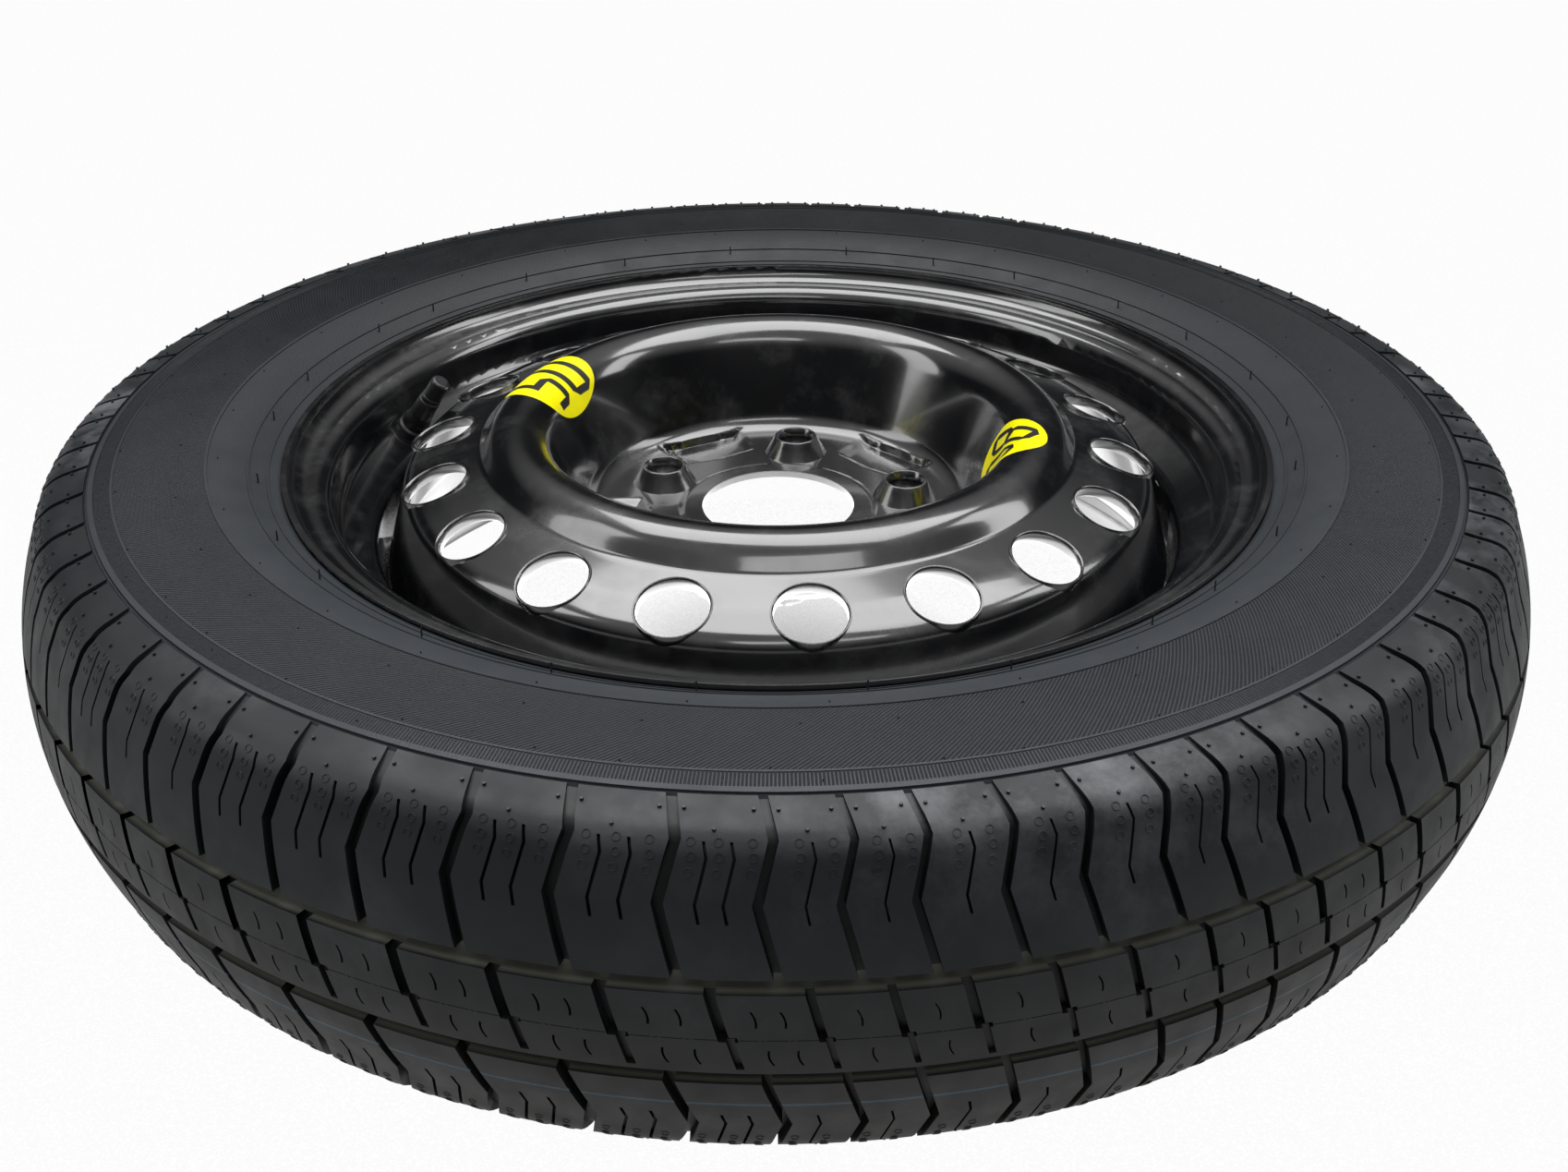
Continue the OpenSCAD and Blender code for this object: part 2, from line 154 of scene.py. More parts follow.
# Depth of the wall's moulded steps under its outermost surface, from the tread's edge to the rim
steps = [
    (298.6, 0.0), (298.5, 1.3), (297.5, 1.3), (297.4, 0.1), (295.2, 0.1), (295.1, 0.75), (288.3, 0.75),
    (288.2, 0.35), (287.4, 0.35), (287.3, 0.75), (250.6, 0.75), (250.5, 0.25), (249.3, 0.25), (249.2, 0.75),
    (233.6, 0.75), (233.5, 0.25), (232.6, 0.25), (232.5, 0.8), (226.0, 0.8), (225.9, 0.3), (224.9, 0.3),
    (224.8, 0.8), (221.4, 0.8),
]
wall_line = []
for (r0, d0), (r1, d1) in zip(steps, steps[1:]):
    cuts = max(1, round((r0 - r1) / 3))
    wall_line += [(r0 + (r1 - r0) * i / cuts, d0 + (d1 - d0) * i / cuts) for i in range(cuts)]
wall_line.append(steps[-1])
upper = [(r, outer_height(r) - d) for r, d in wall_line]
bead = [
    (220.3, 59.0), (220.2, 58.4), (214, 51.8), (203.2, 50.6), (201.6, 34.2), (210.8, 36.6), (243, 63),
    (246.5, 66.3), (286.5, 66.3), (311, 51.8), (321, 23.7),
]
half = upper + bead
casing_line = half + [(r, -z) for r, z in reversed(half)]
casing_line += [(325.5, -23.7), (327.5, 0), (325.5, 23.7)]
casing = revolve("tyre_casing", casing_line, 320, True, MID, 30)

# Rubber from a satin mould: a fine diagonal hatch, pale dust, and a painted sheen that makes the near side lighter
wall_rubber, t, s = material("Moulded tyre rubber, satin, sidewall", Roughness=0.5, IOR=1.38)
here = add(t, "ShaderNodeTexCoord").outputs["Object"]
spot = add(t, "ShaderNodeSeparateXYZ", {0: here})
radius = add(t, "ShaderNodeMath", {
    0: add(t, "ShaderNodeMath", {
        0: add(t, "ShaderNodeMath", {0: spot.outputs[0], 1: 2.0}, operation="POWER"),
        1: add(t, "ShaderNodeMath", {0: spot.outputs[1], 1: 2.0}, operation="POWER"),
    }, operation="ADD"),
}, operation="SQRT").outputs[0]
angle = add(t, "ShaderNodeMath", {0: spot.outputs[1], 1: spot.outputs[0]}, operation="ARCTAN2").outputs[0]
lines = add(t, "ShaderNodeMath", {
    0: add(t, "ShaderNodeMath", {
        0: add(t, "ShaderNodeMath", {0: angle, 1: 900.0}, operation="MULTIPLY"),
        1: add(t, "ShaderNodeMath", {0: radius, 1: 3400.0}, operation="MULTIPLY"),
    }, operation="ADD"),
}, operation="SINE").outputs[0]
inside = add(t, "ShaderNodeMath", {
    0: add(t, "ShaderNodeMath", {0: radius, 1: 0.2507}, operation="GREATER_THAN"),
    1: add(t, "ShaderNodeMath", {0: radius, 1: 0.2871}, operation="LESS_THAN"),
}, operation="MULTIPLY").outputs[0]
hatch = add(t, "ShaderNodeMath", {0: lines, 1: inside}, operation="MULTIPLY").outputs[0]
streaks = add(t, "ShaderNodeTexNoise", {
    "Vector": here, "Scale": 900.0, "Detail": 2.0, "Roughness": 0.55,
}).outputs[0]
grain = add(t, "ShaderNodeMath", {
    0: streaks, 1: add(t, "ShaderNodeMapRange", {0: inside, 1: 0, 2: 1, 3: 0.35, 4: 1.0}),
}, operation="MULTIPLY").outputs[0]
relief = add(t, "ShaderNodeMath", {
    0: add(t, "ShaderNodeMath", {0: hatch, 1: 0.8}, operation="MULTIPLY"), 1: grain,
}, operation="ADD").outputs[0]
bump = add(t, "ShaderNodeBump", {"Strength": 1.0, "Distance": 0.0005, "Height": relief})
dust = add(t, "ShaderNodeMapRange", {
    0: add(t, "ShaderNodeTexNoise", {"Vector": here, "Scale": 22.0, "Detail": 6.0, "Roughness": 0.65}),
    1: 0.45, 2: 0.75,
}).outputs[0]
# Painted sheen: the wall is made lighter towards the near side
near_side_sheen = add(t, "ShaderNodeMapRange", {0: spot.outputs[1], 1: 0.26, 2: -0.2, 3: 0.0, 4: 0.85}).outputs[0]
tint = add(t, "ShaderNodeMix", {
    0: add(t, "ShaderNodeMath", {
        0: near_side_sheen, 1: add(t, "ShaderNodeMath", {0: dust, 1: 0.25}, operation="MULTIPLY"),
    }, operation="MAXIMUM"),
    6: colour("#16191c"), 7: colour("#474b50"),
}, data_type="RGBA").outputs[2]
plain = add(t, "ShaderNodeMapRange", {0: inside, 1: 0.0, 2: 1.0, 3: 0.38, 4: 0.0}).outputs[0]
tint = add(t, "ShaderNodeMix", {
    0: add(t, "ShaderNodeMath", {
        0: plain, 1: add(t, "ShaderNodeMapRange", {0: hatch, 1: 0.0, 2: 0.8, 3: 0.0, 4: 0.8}),
    }, operation="MAXIMUM"),
    6: tint, 7: colour("#0f1114"),
}, data_type="RGBA").outputs[2]
t.links.new(tint, s.inputs["Base Color"])
t.links.new(
    add(t, "ShaderNodeMapRange", {
        0: add(t, "ShaderNodeTexNoise", {"Vector": here, "Scale": 60.0, "Detail": 3.0, "Roughness": 0.55}),
        1: 0.3, 2: 0.7, 3: 0.44, 4: 0.56,
    }).outputs[0],
    s.inputs["Roughness"],
)
t.links.new(bump.outputs[0], s.inputs["Normal"])
finish_piece(casing, "wheel", "tyre", wall_rubber, "tyre")

# Tread: the rubber blocks from edge to edge, moulded in one with the casing. Two straight grooves part a
# centre rib from two shoulders. Zigzag grooves, thin cuts and a change of pitch run all round, and the
# pattern reads the same when it is turned half round.
GROOVE = (16.45, 21.95)
EDGE = 85.7
DEEP = 5.0
PITCH = 30.0
CUTS = {1: (14.4,), 2: (8.9, 17.4)}


def along(points, x):
    for (x0, y0), (x1, y1) in zip(points, points[1:]):
        if x <= x1:
            return y0 + (y1 - y0) * max(0.0, min(1.0, (x - x0) / (x1 - x0)))
    return points[-1][1]


def zigzag(s):
    return along([(-89, -4.0), (-68, 0.5), (-47, -4.7), (-22, 2.1)], s)


def cut_line(s):
    return along([(-89, 0.2), (-67.5, 0.2), (-62, 1.3), (-47, -2.2), (-40.7, -0.9), (-22, 2.1)], s)


def lateral_depth(s):
    return along([(-EDGE, 1.0), (-80, 1.6), (-72, 2.6), (-64, DEEP), (-22, DEEP)], s)


def zone_mesh(rows, columns, depths, mirror):
    """Faces of one block zone: columns are [(x, offset)], depths(i, s) is column i's depth at height s."""
    points = []
    faces = []

    def corner(x, way, s, depth):
        if mirror:
            points.append((1 - x / PITCH, -s * MM, -depth * MM, -way(s) * MM))
        else:
            points.append((x / PITCH, s * MM, -depth * MM, way(s) * MM))
        return len(points) - 1

    def quad(a, b, c, d):
        ring = [corner(*p) for p in (a, b, c, d)]
        faces.append(ring)

    tiny = 1e-4
    for j in range(len(rows) - 1):
        s0, s1 = rows[j], rows[j + 1]
        for i in range(len(columns) - 1):
            (x0, w0), (x1, w1) = columns[i], columns[i + 1]
            d0, d1 = depths(i, s0 + tiny), depths(i, s1 - tiny)
            quad((x0, w0, s0, d0), (x1, w1, s0, d0), (x1, w1, s1, d1), (x0, w0, s1, d1))
            if i < len(columns) - 2:
                e0, e1 = depths(i + 1, s0 + tiny), depths(i + 1, s1 - tiny)
                if abs(e0 - d0) + abs(e1 - d1) > 0.01:
                    quad((x1, w1, s0, d0), (x1, w1, s0, e0), (x1, w1, s1, e1), (x1, w1, s1, d1))
            if j < len(rows) - 2:
                e = depths(i, s1 + tiny)
                if abs(e - d1) > 0.01:
                    quad((x0, w0, s1, d1), (x1, w1, s1, d1), (x1, w1, s1, e), (x0, w0, s1, e))
    for i in range(len(columns) - 1):
        (x0, w0), (x1, w1) = columns[i], columns[i + 1]
        end = rows[-1]
        d = depths(i, end - tiny)
        if d < DEEP - 0.01:
            quad((x0, w0, end, d), (x1, w1, end, d), (x1, w1, end, DEEP), (x0, w0, end, DEEP))
    return points, faces


def tread_tile(name, cuts):
    points = []
    faces = []

    def join(part):
        base = len(points)
        points.extend(part[0])
        faces.extend([[base + k for k in f] for f in part[1]])

    groove = 1.8
    centres = CUTS[cuts]
    xs = [(0.0, zigzag, "g"), (groove, zigzag, "")]
    last = groove
    for c in centres:
        xs.append(((last + c) / 2, cut_line, ""))
        xs += [(c - 0.5, cut_line, "c"), (c + 0.5, cut_line, "")]
        last = c
    xs += [((last + PITCH - groove) / 2, cut_line, ""), (PITCH - groove, zigzag, "g"), (PITCH, zigzag, "")]
    kinds = [k for _, _, k in xs]
    rows = sorted(
        {
            -EDGE, -84, -81, -78, -75, -72, -70, -68, -67.5, -65, -62, -59, -56, -53, -50, -47, -44, -40.7,
            -36, -31, -26, -GROOVE[1],
        },
    )

    def shoulder_depth(i, s):
        if kinds[i] == "g":
            return lateral_depth(s)
        if kinds[i] == "c" and -67.5 < s < -40.7:
            return 3.2
        return 0.0

    shoulder = [(x, w) for x, w, _ in xs]
    for mirror in (False, True):
        join(zone_mesh(rows, shoulder, shoulder_depth, mirror))

    def lean(s):
        return 0.25 * (s + 18) + 9.8

    def bulge(middle, size):
        return lambda s: lean(s) + size * max(0.0, 1 - ((s - middle) / 3.6) ** 2)

    slot_w = 3.6
    ribs = [
        (0.0, lean, "upper"), (slot_w - 1.3, lean, "both"), (slot_w, lean, "lower"),
        (slot_w + 1.3, lean, "step"), (slot_w + 2.4, lean, ""),
    ]
    last = slot_w + 2.4
    for k in range(cuts):
        c = slot_w + (PITCH - slot_w) * (k + 1) / (cuts + 1)
        ribs += [(c - 0.35, bulge(-7, 0.8), "first"), (c + 0.35, bulge(-7, 0.8), "")]
        ribs += [(c + 1.5, bulge(9, -0.8), "second"), (c + 2.2, bulge(9, -0.8), "")]
    ribs += [(PITCH, lean, "")]
    rib_kinds = [k for _, _, k in ribs]
    rib_rows = [
        -GROOVE[0], -13.5, -10.4, -8.5, -7, -5.5, -3.8, -2, 0.2, 1.0, 1.5, 2.2, 4, 5.6, 7.5, 9, 10.5, 12.4,
        14.4, GROOVE[0],
    ]

    def rib_depth(i, s):
        kind = rib_kinds[i]
        if kind in ("upper", "both", "lower", "step") and 0.2 < s < 2.2:
            return DEEP - 0.5
        if kind in ("upper", "both") and s < 0.2:
            return DEEP - 0.5
        if kind == "lower" and s < 0.2:
            return 0.0
        if kind in ("both", "lower") and 2.2 < s < 14.4:
            return 1.9
        if kind == "first" and -10.4 < s < -3.8:
            return 2.4
        if kind == "second" and 5.6 < s < 12.4:
            return 2.4
        if kind == "" and 1.0 < s < 1.5:
            return 0.15
        return 0.0

    middle = [(x, w) for x, w, _ in ribs]
    join(zone_mesh(rib_rows, middle, rib_depth, False))
    wall = []
    for i in range(len(middle) - 1):
        (x0, w0), (x1, w1) = middle[i], middle[i + 1]
        d = rib_depth(i, rib_rows[0] + 1e-4)
        if d < DEEP:
            s = rib_rows[0]
            wall.append([(x / PITCH, s * MM, -e * MM, w(s) * MM)
                         for x, w, e in ((x0, w0, d), (x0, w0, DEEP), (x1, w1, DEEP), (x1, w1, d))])
    join(([p for quad in wall for p in quad], [[4 * k + m for m in range(4)] for k in range(len(wall))]))
    for sign in (-1, 1):
        a, b = sorted((sign * GROOVE[0], sign * GROOVE[1]))
        columns = [k / 4 for k in range(5)]
        rim_points = [(q, s * MM, -DEEP * MM, 0.0) for q in columns for s in (a, b)]
        join((rim_points, [[2 * k, 2 * k + 2, 2 * k + 3, 2 * k + 1] for k in range(4)]))
    data = bpy.data.meshes.new(name)
    data.from_pydata([p[:3] for p in points], [], faces)
    data.attributes.new("shift", "FLOAT", "POINT").data.foreach_set("value", [p[3] for p in points])
    made = bpy.data.objects.new(name, data)
    bpy.context.scene.collection.objects.link(made)
    return made


def curve_object(name, points):
    data = bpy.data.curves.new(name, "CURVE")
    data.dimensions = "3D"
    line = data.splines.new("POLY")
    line.points.add(len(points) - 1)
    for point, place_at in zip(line.points, points):
        point.co = (*place_at, 1)
    made = bpy.data.objects.new(name, data)
    bpy.context.scene.collection.objects.link(made)
    return made


def point_object(name, points, **attributes):
    data = bpy.data.meshes.new(name)
    data.from_pydata(points, [], [])
    for key, values in attributes.items():
        layer = data.attributes.new(key, "FLOAT", "POINT")
        layer.data.foreach_set("value", values)
    made = bpy.data.objects.new(name, data)
    bpy.context.scene.collection.objects.link(made)
    return made


def tree_for(name, *sockets):
    tree = bpy.data.node_groups.new(name, "GeometryNodeTree")
    tree.interface.new_socket("Geometry", in_out="INPUT", socket_type="NodeSocketGeometry")
    found = {}
    for title, kind in sockets:
        found[title] = tree.interface.new_socket(title, in_out="INPUT", socket_type=kind).identifier
    tree.interface.new_socket("Geometry", in_out="OUTPUT", socket_type="NodeSocketGeometry")
    return tree, tree.nodes.new("NodeGroupInput").outputs, found


def grow(obj, tree, found, values, name, smooth_under=30):
    modifier = obj.modifiers.new("grow", "NODES")
    modifier.node_group = tree
    for key, value in values.items():
        modifier[found[key]] = value
    bpy.context.view_layer.update()
    data = bpy.data.meshes.new_from_object(obj.evaluated_get(bpy.context.evaluated_depsgraph_get()))
    obj.modifiers.remove(modifier)
    bpy.data.objects.remove(obj)
    data.name = name
    data.shade_smooth()
    data.set_sharp_from_angle(angle=math.radians(smooth_under))
    made = bpy.data.objects.new(name, data)
    bpy.context.scene.collection.objects.link(made)
    return made


def drop(*objects):
    for item in objects:
        bpy.data.objects.remove(item)


crown = [p for p in outer if p[0] > 298.6]
next_point = outer[len(crown)]
crown.append(crown[-1].lerp(next_point, (crown[-1][0] - 298.6) / (crown[-1][0] - next_point[0])))
total = sum((b - a).length for a, b in zip(crown, crown[1:]))
half_line = [(p[0] * MM, 0, (p[1] + MID) * MM) for p in crown]
other_half = [(p[0] * MM, 0, (-p[1] + MID) * MM) for p in crown]
profile = curve_object("profile", list(reversed(half_line)) + other_half[1:])
rng = random.Random(7)
spans = [5.11, 6.2, 6.2, 6.2, 6.2, 6.2, 5.58, 4.57, 4.16]
rest = [rng.choice((4.16, 4.6, 5.1, 5.1, 5.58)) for _ in range(63)]
scale = (360 - sum(spans)) / sum(rest)
spans += [x * scale for x in rest]
begin = -132.1
starts = [begin + sum(spans[:k]) for k in range(len(spans))]
pitches = point_object(
    "pitches", [(math.radians(a), 0, 0) for a in starts], span=[math.radians(x) for x in spans],
    cuts=[2.0 if x > 5.5 else 1.0 for x in spans],
)
tile_one = tread_tile("tile_one", 1)
tile_two = tread_tile("tile_two", 2)
# The same rubber, with pale dust and a painted sheen on the shoulders, painted shade in the cuts, painted light on
# the floors of the straight grooves, browner towards the bottom, and a thin blue line of paint
tread_rubber, t, s = material("Moulded tyre rubber, satin, tread", Roughness=0.5, IOR=1.45)
here = add(t, "ShaderNodeTexCoord").outputs["Object"]
flat = add(t, "ShaderNodeAttribute", attribute_name="flat").outputs["Vector"]
run = add(t, "ShaderNodeSeparateXYZ", {0: flat})
spot = add(t, "ShaderNodeSeparateXYZ", {0: here})
stripe_at = add(t, "ShaderNodeMath", {
    0: add(t, "ShaderNodeMath", {0: run.outputs[1], 1: 0.0336}, operation="SUBTRACT"),
}, operation="ABSOLUTE").outputs[0]
stripe_edge = add(t, "ShaderNodeMath", {
    0: stripe_at,
    1: add(t, "ShaderNodeMath", {
        0: add(t, "ShaderNodeTexNoise", {"Vector": here, "Scale": 500.0, "Detail": 3.0, "Roughness": 0.55}),
        1: 0.0004,
    }, operation="MULTIPLY"),
}, operation="ADD").outputs[0]
stripe = add(t, "ShaderNodeMath", {
    0: add(t, "ShaderNodeMath", {0: stripe_edge, 1: 0.0008}, operation="LESS_THAN"),
    1: add(t, "ShaderNodeMath", {0: run.outputs[2], 1: -0.0006}, operation="GREATER_THAN"),
}, operation="MULTIPLY").outputs[0]
dust = add(t, "ShaderNodeMapRange", {
    0: add(t, "ShaderNodeTexNoise", {"Vector": here, "Scale": 26.0, "Detail": 7.0, "Roughness": 0.68}),
    1: 0.44, 2: 0.7,
}).outputs[0]
# Painted sheen mixed with pale dust: block tops on the shoulders are made paler, the cuts below them less so
top_smudge_and_sheen = add(t, "ShaderNodeMath", {
    0: add(t, "ShaderNodeMapRange", {
        0: add(t, "ShaderNodeTexNoise", {"Vector": here, "Scale": 9.0, "Detail": 2.0, "Roughness": 0.55}),
        1: 0.45, 2: 0.65,
    }),
    1: add(t, "ShaderNodeMapRange", {0: run.outputs[2], 1: -0.001, 2: 0.0, 3: 0.25, 4: 1.0}),
}, operation="MULTIPLY").outputs[0]
shoulder_sheen_mask = add(t, "ShaderNodeMapRange", {
    0: add(t, "ShaderNodeMath", {0: run.outputs[1]}, operation="ABSOLUTE"), 1: 0.06, 2: 0.08, 3: 0.45,
    4: 1.0,
}).outputs[0]
shoulder_dust_and_sheen = add(t, "ShaderNodeMath", {
    0: add(t, "ShaderNodeMath", {0: top_smudge_and_sheen, 1: shoulder_sheen_mask}, operation="MULTIPLY"), 1: 0.8,
}, operation="MULTIPLY").outputs[0]
tint = add(t, "ShaderNodeMix", {
    0: add(t, "ShaderNodeMath", {0: dust, 1: shoulder_dust_and_sheen}, operation="MULTIPLY"), 6: colour("#13181b"),
    7: colour("#6e7074"),
}, data_type="RGBA").outputs[2]
off_middle = add(t, "ShaderNodeMath", {0: run.outputs[1]}, operation="ABSOLUTE").outputs[0]
in_groove = add(t, "ShaderNodeMath", {
    0: add(t, "ShaderNodeMath", {0: off_middle, 1: 0.0163}, operation="GREATER_THAN"),
    1: add(t, "ShaderNodeMath", {0: off_middle, 1: 0.0221}, operation="LESS_THAN"),
}, operation="MULTIPLY").outputs[0]
# Painted shade: the cuts and lateral grooves are darkened below the block tops, except in the straight grooves
painted_groove_shade = add(t, "ShaderNodeMath", {
    0: add(t, "ShaderNodeMapRange", {0: run.outputs[2], 1: -0.0004, 2: -0.002, 3: 0.0, 4: 0.7}),
    1: add(t, "ShaderNodeMath", {0: 1.0, 1: in_groove}, operation="SUBTRACT"),
}, operation="MULTIPLY").outputs[0]
tint = add(t, "ShaderNodeMix", {0: painted_groove_shade, 6: tint, 7: colour("#0c0d0e")}, data_type="RGBA").outputs[2]
low = add(t, "ShaderNodeMath", {
    0: add(t, "ShaderNodeMapRange", {0: spot.outputs[2], 1: 0.012, 2: -0.085}), 1: 0.75,
}, operation="MULTIPLY").outputs[0]
tint = add(t, "ShaderNodeMix", {0: low, 6: tint, 7: colour("#1f1a14")}, data_type="RGBA").outputs[2]
# Painted light, with a little dust: the floors of the two straight grooves are made pale grey
groove_floor_light_and_dust = add(t, "ShaderNodeMath", {
    0: add(t, "ShaderNodeMapRange", {0: run.outputs[2], 1: -0.0005, 2: -0.003, 3: 0.0, 4: 0.9}),
    1: in_groove,
}, operation="MULTIPLY").outputs[0]
tint = add(t, "ShaderNodeMix", {0: groove_floor_light_and_dust, 6: tint, 7: colour("#77776f")}, data_type="RGBA").outputs[2]
tint = add(t, "ShaderNodeMix", {
    0: add(t, "ShaderNodeMath", {0: stripe, 1: 0.8}, operation="MULTIPLY"), 6: tint, 7: colour("#5f7f92"),
}, data_type="RGBA").outputs[2]
t.links.new(tint, s.inputs["Base Color"])
t.links.new(
    add(t, "ShaderNodeMapRange", {
        0: add(t, "ShaderNodeTexNoise", {"Vector": here, "Scale": 70.0, "Detail": 3.0, "Roughness": 0.55}),
        1: 0.3, 2: 0.7, 3: 0.44, 4: 0.58,
    }).outputs[0],
    s.inputs["Roughness"],
)
bump = add(t, "ShaderNodeBump", {
    "Strength": 0.18, "Distance": 0.0002,
    "Height": add(t, "ShaderNodeTexNoise", {
        "Vector": here, "Scale": 800.0, "Detail": 2.0, "Roughness": 0.55,
    }),
})
t.links.new(bump.outputs[0], s.inputs["Normal"])

tree, given, found = tree_for(
    "tread", ("Tile with one cut", "NodeSocketObject"), ("Tile with two cuts", "NodeSocketObject"),
    ("Profile", "NodeSocketObject"), ("Middle of the profile", "NodeSocketFloat"),
    ("Rubber", "NodeSocketMaterial"),
)
span = add(tree, "GeometryNodeInputNamedAttribute", {0: "span"}, data_type="FLOAT").outputs[0]
cuts = add(tree, "GeometryNodeInputNamedAttribute", {0: "cuts"}, data_type="FLOAT").outputs[0]
size = add(tree, "ShaderNodeCombineXYZ", {0: span, 1: 1.0, 2: 1.0}).outputs[0]
groups = []
for title, number in (("Tile with one cut", 1.0), ("Tile with two cuts", 2.0)):
    tile = add(tree, "GeometryNodeObjectInfo", {0: given[title]}).outputs["Geometry"]
    chosen = add(tree, "ShaderNodeMath", {0: cuts, 1: number, 2: 0.1}, operation="COMPARE").outputs[0]
    groups.append(
        add(tree, "GeometryNodeInstanceOnPoints", {
            "Points": given["Geometry"], "Selection": chosen, "Instance": tile, "Scale": size,
        }).outputs[0],
    )
both = add(tree, "GeometryNodeJoinGeometry")
for group in groups:
    tree.links.new(group, both.inputs[0])
real = add(tree, "GeometryNodeRealizeInstances", {0: both.outputs[0]}).outputs[0]
where = add(tree, "GeometryNodeInputPosition").outputs[0]
shift = add(tree, "GeometryNodeInputNamedAttribute", {0: "shift"}, data_type="FLOAT").outputs[0]
kept = add(tree, "GeometryNodeStoreNamedAttribute", {
    0: real, 2: "flat", 3: where,
}, data_type="FLOAT_VECTOR", domain="POINT").outputs[0]
stored = add(tree, "GeometryNodeInputNamedAttribute", {0: "flat"}, data_type="FLOAT_VECTOR").outputs[0]
way = add(tree, "ShaderNodeSeparateXYZ", {0: stored}).outputs
rail = add(tree, "GeometryNodeObjectInfo", {0: given["Profile"]}).outputs["Geometry"]
length = add(tree, "ShaderNodeMath", {
    0: way[1], 1: given["Middle of the profile"],
}, operation="ADD").outputs[0]
sample = add(tree, "GeometryNodeSampleCurve", {
    "Curves": rail, "Length": length,
}, mode="LENGTH", use_all_curves=True)
point = add(tree, "ShaderNodeSeparateXYZ", {0: sample.outputs["Position"]}).outputs
lie = add(tree, "ShaderNodeSeparateXYZ", {0: sample.outputs["Tangent"]}).outputs
reach = add(tree, "ShaderNodeMath", {
    0: point[0],
    1: add(tree, "ShaderNodeMath", {
        0: add(tree, "ShaderNodeMath", {0: lie[2], 1: -1.0}, operation="MULTIPLY"), 1: way[2],
    }, operation="MULTIPLY"),
}, operation="ADD").outputs[0]
rise = add(tree, "ShaderNodeMath", {
    0: point[2], 1: add(tree, "ShaderNodeMath", {0: lie[0], 1: way[2]}, operation="MULTIPLY"),
}, operation="ADD").outputs[0]
turn_by = add(tree, "ShaderNodeMath", {
    0: way[0], 1: add(tree, "ShaderNodeMath", {0: shift, 1: TYRE_R * MM}, operation="DIVIDE"),
}, operation="ADD").outputs[0]
bent = add(tree, "ShaderNodeCombineXYZ", {
    0: add(tree, "ShaderNodeMath", {
        0: reach, 1: add(tree, "ShaderNodeMath", {0: turn_by}, operation="COSINE"),
    }, operation="MULTIPLY"),
    1: add(tree, "ShaderNodeMath", {
        0: reach, 1: add(tree, "ShaderNodeMath", {0: turn_by}, operation="SINE"),
    }, operation="MULTIPLY"),
    2: rise,
})
moved = add(tree, "GeometryNodeSetPosition", {0: kept, 2: bent.outputs[0]}).outputs[0]
welded = add(tree, "GeometryNodeMergeByDistance", {0: moved, 2: 0.000004}).outputs[0]
painted = add(tree, "GeometryNodeSetMaterial", {0: welded, 2: given["Rubber"]}).outputs[0]
add(tree, "NodeGroupOutput", {0: painted})
tread = grow(
    pitches, tree, found,
    {
        "Tile with one cut": tile_one, "Tile with two cuts": tile_two, "Profile": profile,
        "Middle of the profile": total * MM, "Rubber": tread_rubber,
    },
    "tread", 28,
)
drop(tile_one, tile_two)
finish_piece(tread, "wheel", "tyre", tread_rubber, "tyre")

# Ribbed ring: short radial ribs that stand on the sidewall beside the tread's edge, moulded in one with
# the tyre, about 1.3 mm apart
tree, given, found = tree_for("ribbed ring", ("Rib", "NodeSocketObject"), ("Rubber", "NodeSocketMaterial"))
turned = add(tree, "GeometryNodeInputNamedAttribute", {0: "turned"}, data_type="FLOAT").outputs[0]
rotation = add(tree, "ShaderNodeCombineXYZ", {2: turned}).outputs[0]
rib_in = add(tree, "GeometryNodeObjectInfo", {0: given["Rib"]}).outputs["Geometry"]
placed = add(tree, "GeometryNodeInstanceOnPoints", {
    "Points": given["Geometry"], "Instance": rib_in, "Rotation": rotation,
})
real = add(tree, "GeometryNodeRealizeInstances", {0: placed.outputs[0]}).outputs[0]
painted = add(tree, "GeometryNodeSetMaterial", {0: real, 2: given["Rubber"]}).outputs[0]
add(tree, "NodeGroupOutput", {0: painted})
around = tree, found
RIBS = 1400
rib_points = []
for r, z_off in ((295.0, 0.0), (292.9, 0.0), (290.8, 0.0), (288.5, 0.0)):
    z = outer_height(r) + MID
    rib_points += [
        (r * MM, -0.00045, (z - 0.8) * MM), (r * MM, 0, (z - 0.12) * MM), (r * MM, 0.00045, (z - 0.8) * MM),
    ]
rib_faces = [(3 * k, 3 * k + 3, 3 * k + 4, 3 * k + 1) for k in range(3)]
rib_faces += [(3 * k + 1, 3 * k + 4, 3 * k + 5, 3 * k + 2) for k in range(3)]
rib = mesh_object("rib", rib_points, rib_faces)
turns = [2 * math.pi * k / RIBS for k in range(RIBS)]
ring = grow(point_object("rib_places", [(0, 0, 0)] * RIBS, turned=turns), *around,
            {"Rib": rib, "Rubber": wall_rubber}, "ribbed_ring")
drop(rib)
finish_piece(ring, "wheel", "tyre", wall_rubber)

# Rubber stubs, round marks and hairs: what the mould's vents leave on the shoulders and the sidewall, in
# the tyre's own rubber
hair_rubber, t, s = material("Moulded tyre rubber, vent hairs", Roughness=0.45, IOR=1.52)
here = add(t, "ShaderNodeTexCoord").outputs["Object"]
t.links.new(
    add(t, "ShaderNodeMix", {
        0: add(t, "ShaderNodeTexNoise", {"Vector": here, "Scale": 300.0, "Detail": 3.0, "Roughness": 0.55}),
        6: colour("#101113"), 7: colour("#1d1e20"),
    }, data_type="RGBA").outputs[2],
    s.inputs["Base Color"],
)


def surface(angle, s, depth=0.0):
    left = s + total
    points = list(reversed(crown)) + [Vector((p[0], -p[1])) for p in crown[1:]]
    for a, b in zip(points, points[1:]):
        step = (b - a).length
        if left <= step:
            p = a.lerp(b, left / step)
            lie = (b - a) / step
            out = Vector((-lie[1], lie[0]))
            return p, out
        left -= step
    return points[-1], Vector((0, -1))


